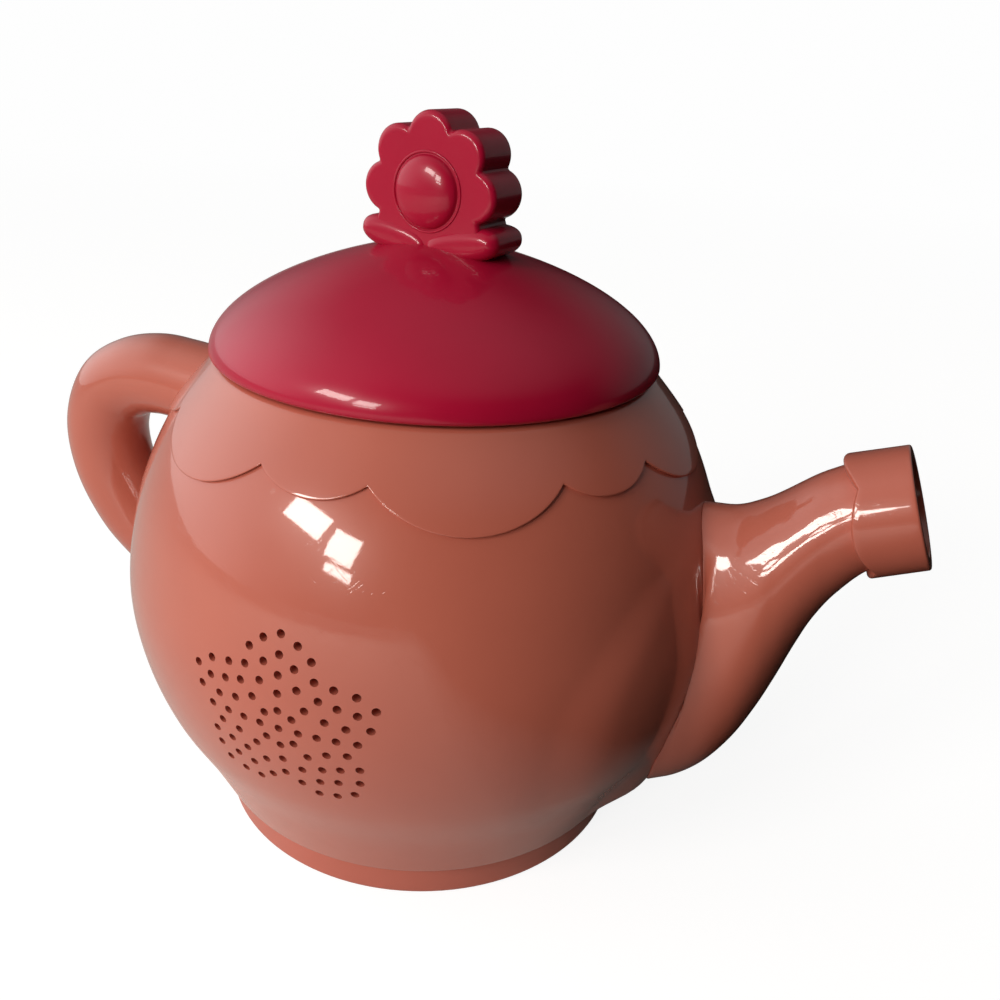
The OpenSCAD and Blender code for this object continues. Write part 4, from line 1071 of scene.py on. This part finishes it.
@dataclass(frozen=True)
class Flower:
    """The flower knob: eight petals with round edges, two plump leaves and a domed centre."""

    radius: float = 14.598
    thick: float = 12.0
    petals: int = 8
    petal_share: float = 0.324
    edge: float = 1.3
    centre_z: float = 135.1
    notch: float = 1.2
    knob_turn: float = math.radians(-8)
    disc_r: float = 7.59
    disc_seat: float = 0.6
    ring_r: float = 7.1
    ring_rise: float = 0.85
    dome_r: float = 6.75
    dome_rise: float = 3.1
    dome_end: float = math.radians(84)
    leaf_x: float = 7.4
    leaf_len: float = 16.2
    leaf_h: float = 6.6
    leaf_power: float = 0.8
    leaf_turn: float = math.radians(10)
    leaf_lift: float = -0.2
    leaf_proud: float = 0.6
    leaf_edge: float = 2.54
    leaf_steps: int = 9
    leaf_turns: int = 56
    insets: tuple[float, ...] = (0.0, 0.02, 0.08, 0.18, 0.32, 0.5, 0.72, 1.0, 1.35, 1.8, 2.4, 3.1, 3.9)
    depth_rows: int = 4
    petal_steps: int = 44
    dome_rows: int = 20
    foot_share: float = 0.3
    foot_lift: float = 0.04
    ring_gap: float = 0.06
    ring_rows: int = 8
    centre_turns: int = 96
    crease: float = 40.0
    sink: float = 0.6

    @property
    def petal_r(self) -> float:
        """Radius of one petal."""
        return self.radius * self.petal_share

    @property
    def petal_at(self) -> float:
        """Distance of a petal's middle from the flower's."""
        return self.radius - self.petal_r

    def petal_reach(self, away: float) -> float:
        """Distance of one petal's edge from the flower's middle, at an angle away from the petal."""
        s = self.petal_at * math.sin(away)
        return self.petal_at * math.cos(away) + math.sqrt(max(0.0, self.petal_r**2 - s * s))

    def reach(self, turn: float) -> float:
        """Distance of the outline from the flower's middle, with a small fillet between petals."""
        step = FULL_TURN / self.petals
        away = abs(turn - step * round(turn / step))
        own, other = self.petal_reach(away), self.petal_reach(step - away)
        close = max(0.0, self.notch - abs(own - other)) / self.notch
        return max(own, other) + close * close * self.notch / 4

    def fall(self, inset: float) -> float:
        """How far the round edge lies behind the face at an inset from the outline."""
        left = self.edge - min(self.edge, inset)
        return self.edge - math.sqrt(max(0.0, self.edge**2 - left * left))

    def petals_skin(self) -> bmesh.types.BMesh:
        """Flower from its front face, round the edge, to its back face."""
        half = self.thick / 2
        front = [("face", inset) for inset in reversed(self.insets)]
        rows = [("pole", 0.0), ("disc", 0.0)] + front
        middle = [("side", k / self.depth_rows) for k in range(1, self.depth_rows)]
        every = [(-1, kind, v) for kind, v in rows] + [(0, kind, v) for kind, v in middle]
        every += [(1, kind, v) for kind, v in reversed(rows)]

        def place(share: float, row: int) -> Vector:
            turn = share * FULL_TURN
            way, kind, value = every[row]
            if kind == "pole":
                r, y = 0.0, half
            elif kind == "disc":
                r, y = self.disc_r, half
            elif kind == "side":
                r, y = self.reach(turn), mix(self.edge - half, half - self.edge, value)
                return self.stand(r, turn, y)
            else:
                r, y = self.reach(turn) - value, half - self.fall(value)
            return self.stand(r, turn, way * y)

        return spun_skin(len(every), self.petals * self.petal_steps, place)

    def stand(self, r: float, turn: float, y: float) -> Vector:
        """Point of the flower at a radius, an angle from the top and a depth."""
        return Vector((-r * math.sin(turn), y, self.centre_z + r * math.cos(turn)))

    def leaf_skin(self, lid: Lid, way: int) -> bmesh.types.BMesh:
        """One leaf, like a plump seed, through the whole knob."""
        half = self.thick / 2 + self.leaf_proud
        rim = quarter(self.leaf_edge, self.leaf_steps)
        levels = [(a, half - b) for a, b in reversed(rim)] + [(0.0, 0.0)] + [(a, b - half) for a, b in rim]
        count = len(levels) + 2

        def place(share: float, row: int) -> Vector:
            turn = share * FULL_TURN
            inset, y = levels[max(0, min(len(levels) - 1, row - 1))]
            pole = 0.0 if row in (0, count - 1) else 1.0
            ways = (math.cos(turn), math.sin(turn))
            across, up = (math.copysign(abs(v) ** self.leaf_power, v) for v in ways)
            u = pole * (self.leaf_len / 2 - inset) * across
            v = pole * (self.leaf_h / 2 - inset) * up
            c, s = math.cos(self.leaf_turn), math.sin(self.leaf_turn)
            z = lid.crown_z + self.leaf_lift + u * s + v * c
            return Vector((way * (self.leaf_x + u * c - v * s), y, z))

        return spun_skin(count, self.leaf_turns, place)

    def seat(self, bm: bmesh.types.BMesh, lid: Lid) -> None:
        """Lifts what would reach through the lid to just under its outside."""
        for vert in bm.verts:
            vert.co.z = max(vert.co.z, lid.top_z(math.hypot(vert.co.x, vert.co.y)) - self.sink)

    def turned(self, bm: bmesh.types.BMesh) -> bmesh.types.BMesh:
        """Turns a form of the knob about the lid's axis, as the knob stands on the lid."""
        turn = Matrix.Rotation(self.knob_turn, 3, "Z")
        bmesh.ops.rotate(bm, cent=(0, 0, 0), matrix=turn, verts=bm.verts[:])
        return bm

    def build(self, lid: Lid) -> None:
        """Makes the knob's two halves and its centre on the lid."""
        skins = [self.petals_skin(), self.leaf_skin(lid, 1), self.leaf_skin(lid, -1)]
        joined = bmesh.new()
        for skin in skins:
            self.seat(skin, lid)
            mesh = bpy.data.meshes.new("knob_part")
            skin.to_mesh(mesh)
            joined.from_mesh(mesh)
            bpy.data.meshes.remove(mesh)
            skin.free()
        for half, name, node in (
            (Side.FRONT, "knob_petals_front", "flower_front"), (Side.REAR, "knob_petals_rear", "flower_rear")
        ):
            piece = new_object(self.turned(half_of(joined, half)), name)
            sharpen(piece, self.crease)
            finish_piece(piece, CRIMSON, "lid", "crimson_gloss", [node])
        joined.free()
        self.centre()

    def centre(self) -> bpy.types.Object:
        """The smooth dome in the flower's middle, with a thin ring round its foot."""
        seat = self.disc_seat
        turns = [self.dome_end * k / self.dome_rows for k in range(self.dome_rows + 1)]
        rows = [(self.dome_r * math.sin(a), mix(seat, self.dome_rise, math.cos(a))) for a in turns]
        foot_r = mix(self.dome_r, self.ring_r, self.foot_share)
        rows += [(foot_r, seat + self.foot_lift), (self.ring_r - self.ring_gap, seat)]
        for k in range(self.ring_rows + 1):
            a = math.pi * (1 - k / self.ring_rows)
            r = mix(self.ring_r, self.disc_r, 0.5 + 0.5 * math.cos(a))
            rows.append((r, mix(seat, self.ring_rise, math.sin(a))))
        rows += [(self.disc_r, 0.0), (0.0, 0.0)]
        face_y = self.disc_seat - self.thick / 2

        def place(share: float, row: int) -> Vector:
            r, out = rows[row]
            return self.stand(r, share * FULL_TURN, face_y - out)

        piece = new_object(self.turned(spun_skin(len(rows), self.centre_turns, place)), "knob_centre")
        sharpen(piece, self.crease)
        return finish_piece(piece, CRIMSON, "lid", "crimson_gloss", ["flower_centre"])


# Inside parts


class InsideParts:
    """The CAD's own pieces: those that show are copied, merged and shaded smooth, the others get their
    finish.
    """

    shown = {
        # The base and battery cover take the clay painted lighter, a lit copy of the body's clay.
        "base": ("base_moulding", CLAY_PAINTED_LIGHTER, "clay_deep", "pot"),
        "inner_cup": ("tea_well", CLAY, "clay_gloss", "pot"),
        "lid_skirt": ("lid_ring", CRIMSON, "crimson_gloss", "lid"),
        "battery_door": ("battery_cover", CLAY_PAINTED_LIGHTER, "clay_deep", "door"),
        "door_screw": ("cover_screw", STEEL, "screw_steel", "door"),
        "base_screws": ("foot_screws", STEEL, "screw_steel", "pot"),
        "knob_screw": ("lid_screw", STEEL, "screw_steel", "lid"),
        "switch_slider": ("power_slider", BLACK_PLASTIC, "black_plastic", "slider"),
    }
    kept = {
        "speaker_frame": FRAME_STEEL,
        "speaker_cone": CONE_PAPER,
        "speaker_magnet": FERRITE,
        "speaker_gasket": FOAM,
        "speaker_screws": STEEL,
        "circuit_board": LAMINATE,
        "sound_chip": BLACK_PLASTIC,
        "capacitors": BLUE_SLEEVE,
        "board_screws": STEEL,
        "tilt_case": WHITE_PLASTIC,
        "tilt_ball": BALL_STEEL,
        "switch_case": BLACK_PLASTIC,
        "batteries": CELL_WRAP,
        "battery_springs": TIN,
        "battery_contacts": TIN,
        "spout_screws": STEEL,
        "speaker_leads": RED_VINYL,
        "battery_leads": BLACK_VINYL,
    }
    merge = 2e-6
    flat = math.radians(0.6)
    corner = math.radians(32)
    soft_edge = 0.00012

    def copy(self, node: str, name: str) -> bpy.types.Object:
        """Merged copy of a node's mesh with flat faces joined, shaded smooth apart from its sharp corners."""
        bm = bmesh.new()
        bm.from_mesh(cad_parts[node].data)
        bmesh.ops.remove_doubles(bm, verts=bm.verts[:], dist=self.merge)
        bmesh.ops.dissolve_limit(
            bm, angle_limit=self.flat, use_dissolve_boundaries=False, verts=bm.verts[:], edges=bm.edges[:]
        )
        mesh = bpy.data.meshes.new(name)
        bm.to_mesh(mesh)
        bm.free()
        piece = bpy.data.objects.new(name, mesh)
        bpy.context.scene.collection.objects.link(piece)
        sharpen(piece, math.degrees(self.corner))
        return piece

    def build(self) -> None:
        """Dresses every CAD piece that nothing else stands for."""
        for node, (name, finish, slot, body) in self.shown.items():
            finish_piece(self.copy(node, name), finish, body, slot, [node])
        for node, finish in self.kept.items():
            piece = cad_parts[node]
            piece.data.materials.clear()
            piece.data.materials.append(finish.material())


# Studio


@dataclass(frozen=True)
class Pane:
    """One pane of the window-like light: its place in the light's plane, size and turn, in mm and degrees."""

    across: float
    up: float
    width: float
    height: float
    turn: float


class Studio:
    """Pale floor, window-like soft light from the left front, and the camera at the photograph's view."""

    camera_at = Vector((0.079612, -0.184858, 0.160976))
    camera_right = Vector((0.93441, 0.35126, 0.05909))
    camera_up = Vector((-0.19582, 0.36800, 0.90897))
    lens = 36.0
    sensor = 36.0

    near_clip = 0.01
    far_clip = 50.0

    floor_r = 3.0
    floor_sides = 96
    pale = 0.99
    floor_glow = 1.25
    floor_shade = 0.3
    air_from = 0.4
    air_full = 1.3
    paper = "#F3F2F0"
    # Painted light on the floor for bounce rays: a pale tone to the left as if the window lit it, a dark tone
    # to the right as painted shade.
    painted_light_way = (-0.95, -0.3, 0.0)
    painted_light_from = -0.08
    painted_light_full = -0.025
    bounce_painted_shade = "#26221F"
    bounce_painted_light = "#E8E4DF"
    box_turn = math.radians(-113)
    box_lift = math.radians(25)
    box_away = 0.75
    aim = Vector((0.0, -0.03, 0.08))
    panes = (Pane(-60, 45, 230, 130, -15), Pane(165, -30, 150, 140, -7), Pane(177, -140, 150, 38, -5))
    pane_radiance = 22.0
    pane_tint = "#FFF9F2"
    lobes = (
        (-180.0, 10.0, 0.6, 0.85), (-155.0, 25.0, 0.6, 0.62), (0.0, 85.0, 0.6, 0.36), (60.0, 10.0, 0.7, 0.2),
        (150.0, 20.0, 0.6, 0.15),
    )

    def camera(self) -> None:
        """Adds the camera."""
        data = bpy.data.cameras.new("camera")
        data.sensor_fit, data.sensor_width, data.lens = "HORIZONTAL", self.sensor, self.lens
        data.clip_start, data.clip_end = self.near_clip, self.far_clip
        camera = bpy.data.objects.new("camera", data)
        back = self.camera_right.cross(self.camera_up)
        turn = Matrix((self.camera_right, self.camera_up, back)).transposed()
        camera.matrix_world = Matrix.Translation(self.camera_at) @ turn.to_4x4()
        bpy.context.scene.collection.objects.link(camera)
        bpy.context.scene.camera = camera

    def floor(self) -> None:
        """Adds the floor, a plain pale sheet that runs into the air behind it without a line.

        The camera sees it white. To other rays it is painted pale on the left and dark on the right: a
        painted pool of light and painted shade on the floor, which the teapot's sides and underside pick up
        as bounce.
        """
        bm = bmesh.new()
        bmesh.ops.create_circle(bm, cap_ends=True, segments=self.floor_sides, radius=self.floor_r / MM)
        floor = new_object(bm, "floor")
        made = bpy.data.materials.new("floor_paper")
        made.use_nodes = True
        tree = made.node_tree
        tree.nodes.clear()
        spot = add(tree, "ShaderNodeTexCoord").outputs["Object"]
        grain = add(tree, "ShaderNodeTexNoise", {"Vector": spot, "Scale": per_mm(2.0)})
        relief = add(tree, "ShaderNodeBump", {"Height": grain.outputs["Fac"], "Distance": 0.02 * MM})
        away = add(tree, "ShaderNodeVectorMath", {0: spot}, operation="LENGTH")
        lit = add(
            tree, "ShaderNodeBsdfDiffuse", {"Color": linear(self.paper), "Normal": relief.outputs["Normal"]}
        )
        glow = add(tree, "ShaderNodeEmission", {"Strength": self.floor_glow})
        near = add(tree, "ShaderNodeMixShader", {0: self.floor_shade, 1: glow.outputs[0], 2: lit.outputs[0]})
        air = add(tree, "ShaderNodeEmission", {"Strength": self.pale})
        shown = add(
            tree, "ShaderNodeMixShader",
            {
                0: ramp(tree, away.outputs["Value"], self.air_from, self.air_full),
                1: near.outputs[0],
                2: air.outputs[0],
            },
        )
        # Painted pool of light and painted shade for bounce rays: the floor's tone runs from dark on the
        # right to pale on the left.
        side = add(tree, "ShaderNodeVectorMath", {0: spot, 1: self.painted_light_way}, operation="DOT_PRODUCT")
        fall = ramp(tree, side.outputs["Value"], self.painted_light_from, self.painted_light_full)
        tone = two_tones(tree, fall, self.bounce_painted_shade, self.bounce_painted_light)
        bounce = add(tree, "ShaderNodeBsdfDiffuse", {"Color": tone})
        seen = add(tree, "ShaderNodeLightPath").outputs["Is Camera Ray"]
        both = add(tree, "ShaderNodeMixShader", {0: seen, 1: bounce.outputs[0], 2: shown.outputs[0]})
        add(tree, "ShaderNodeOutputMaterial", {"Surface": both.outputs[0]})
        floor.data.materials.append(made)

    def lights(self) -> None:
        """Adds the panes of the window-like light."""
        turn, lift = self.box_turn, self.box_lift
        flat = math.cos(lift)
        way = Vector((flat * math.cos(turn), flat * math.sin(turn), math.sin(lift)))
        right = Vector((0, 0, 1)).cross(way).normalized()
        up = way.cross(right)
        for i, pane in enumerate(self.panes):
            wide, high = pane.width * MM, pane.height * MM
            at = self.aim + self.box_away * way + (right * pane.across + up * pane.up) * MM
            data = bpy.data.lights.new(f"pane_{i}", "AREA")
            data.shape, data.size, data.size_y = "RECTANGLE", wide, high
            data.energy = self.pane_radiance * math.pi * wide * high
            data.color = linear(self.pane_tint)[:3]
            light = bpy.data.objects.new(f"pane_{i}", data)
            face = Matrix((right, up, way)).transposed().to_4x4()
            spin = Matrix.Rotation(math.radians(pane.turn), 4, "Z")
            light.matrix_world = Matrix.Translation(at) @ face @ spin
            bpy.context.scene.collection.objects.link(light)

    def world(self) -> None:
        """Lights the air in soft patches: the brightest are on the left, and below there is none."""
        world = bpy.data.worlds.new("air")
        bpy.context.scene.world = world
        world.use_nodes = True
        tree = world.node_tree
        tree.nodes.clear()
        spot = add(tree, "ShaderNodeTexCoord").outputs["Generated"]
        glow: bpy.types.NodeSocket | None = None
        for turn, lift, narrow, most in self.lobes:
            a, e = math.radians(turn), math.radians(lift)
            way = (math.cos(e) * math.cos(a), math.cos(e) * math.sin(a), math.sin(e))
            lean = add(tree, "ShaderNodeVectorMath", {0: spot, 1: way}, operation="DOT_PRODUCT")
            part = add(
                tree, "ShaderNodeMapRange",
                {"Value": lean.outputs["Value"], "From Min": narrow, "To Max": most},
                interpolation_type="SMOOTHSTEP",
            ).outputs["Result"]
            glow = add(tree, "ShaderNodeMath", {0: glow, 1: part}).outputs[0] if glow else part
        air = add(tree, "ShaderNodeBackground", {"Color": (1, 1, 1, 1), "Strength": glow})
        pale = add(tree, "ShaderNodeBackground", {"Color": (1, 1, 1, 1), "Strength": self.pale})
        seen = add(tree, "ShaderNodeLightPath").outputs["Is Camera Ray"]
        both = add(tree, "ShaderNodeMixShader", {0: seen, 1: air.outputs[0], 2: pale.outputs[0]})
        add(tree, "ShaderNodeOutputWorld", {"Surface": both.outputs[0]})

    def build(self) -> None:
        """Sets the stage."""
        bpy.context.scene.view_settings.view_transform = "Standard"
        self.camera()
        self.floor()
        self.lights()
        self.world()


def main() -> None:
    """Builds and dresses the teapot, then the studio."""
    logging.basicConfig(level=logging.INFO, format="%(name)s: %(message)s")
    Studio().build()
    side, collar = PotSide(), CollarSize()
    Pot(side, collar).build()
    Handle().build(side, collar)
    Spout().build(side)
    lid = Lid()
    lid.build()
    Flower().build(lid)
    InsideParts().build()


if __name__ == "__main__":
    main()
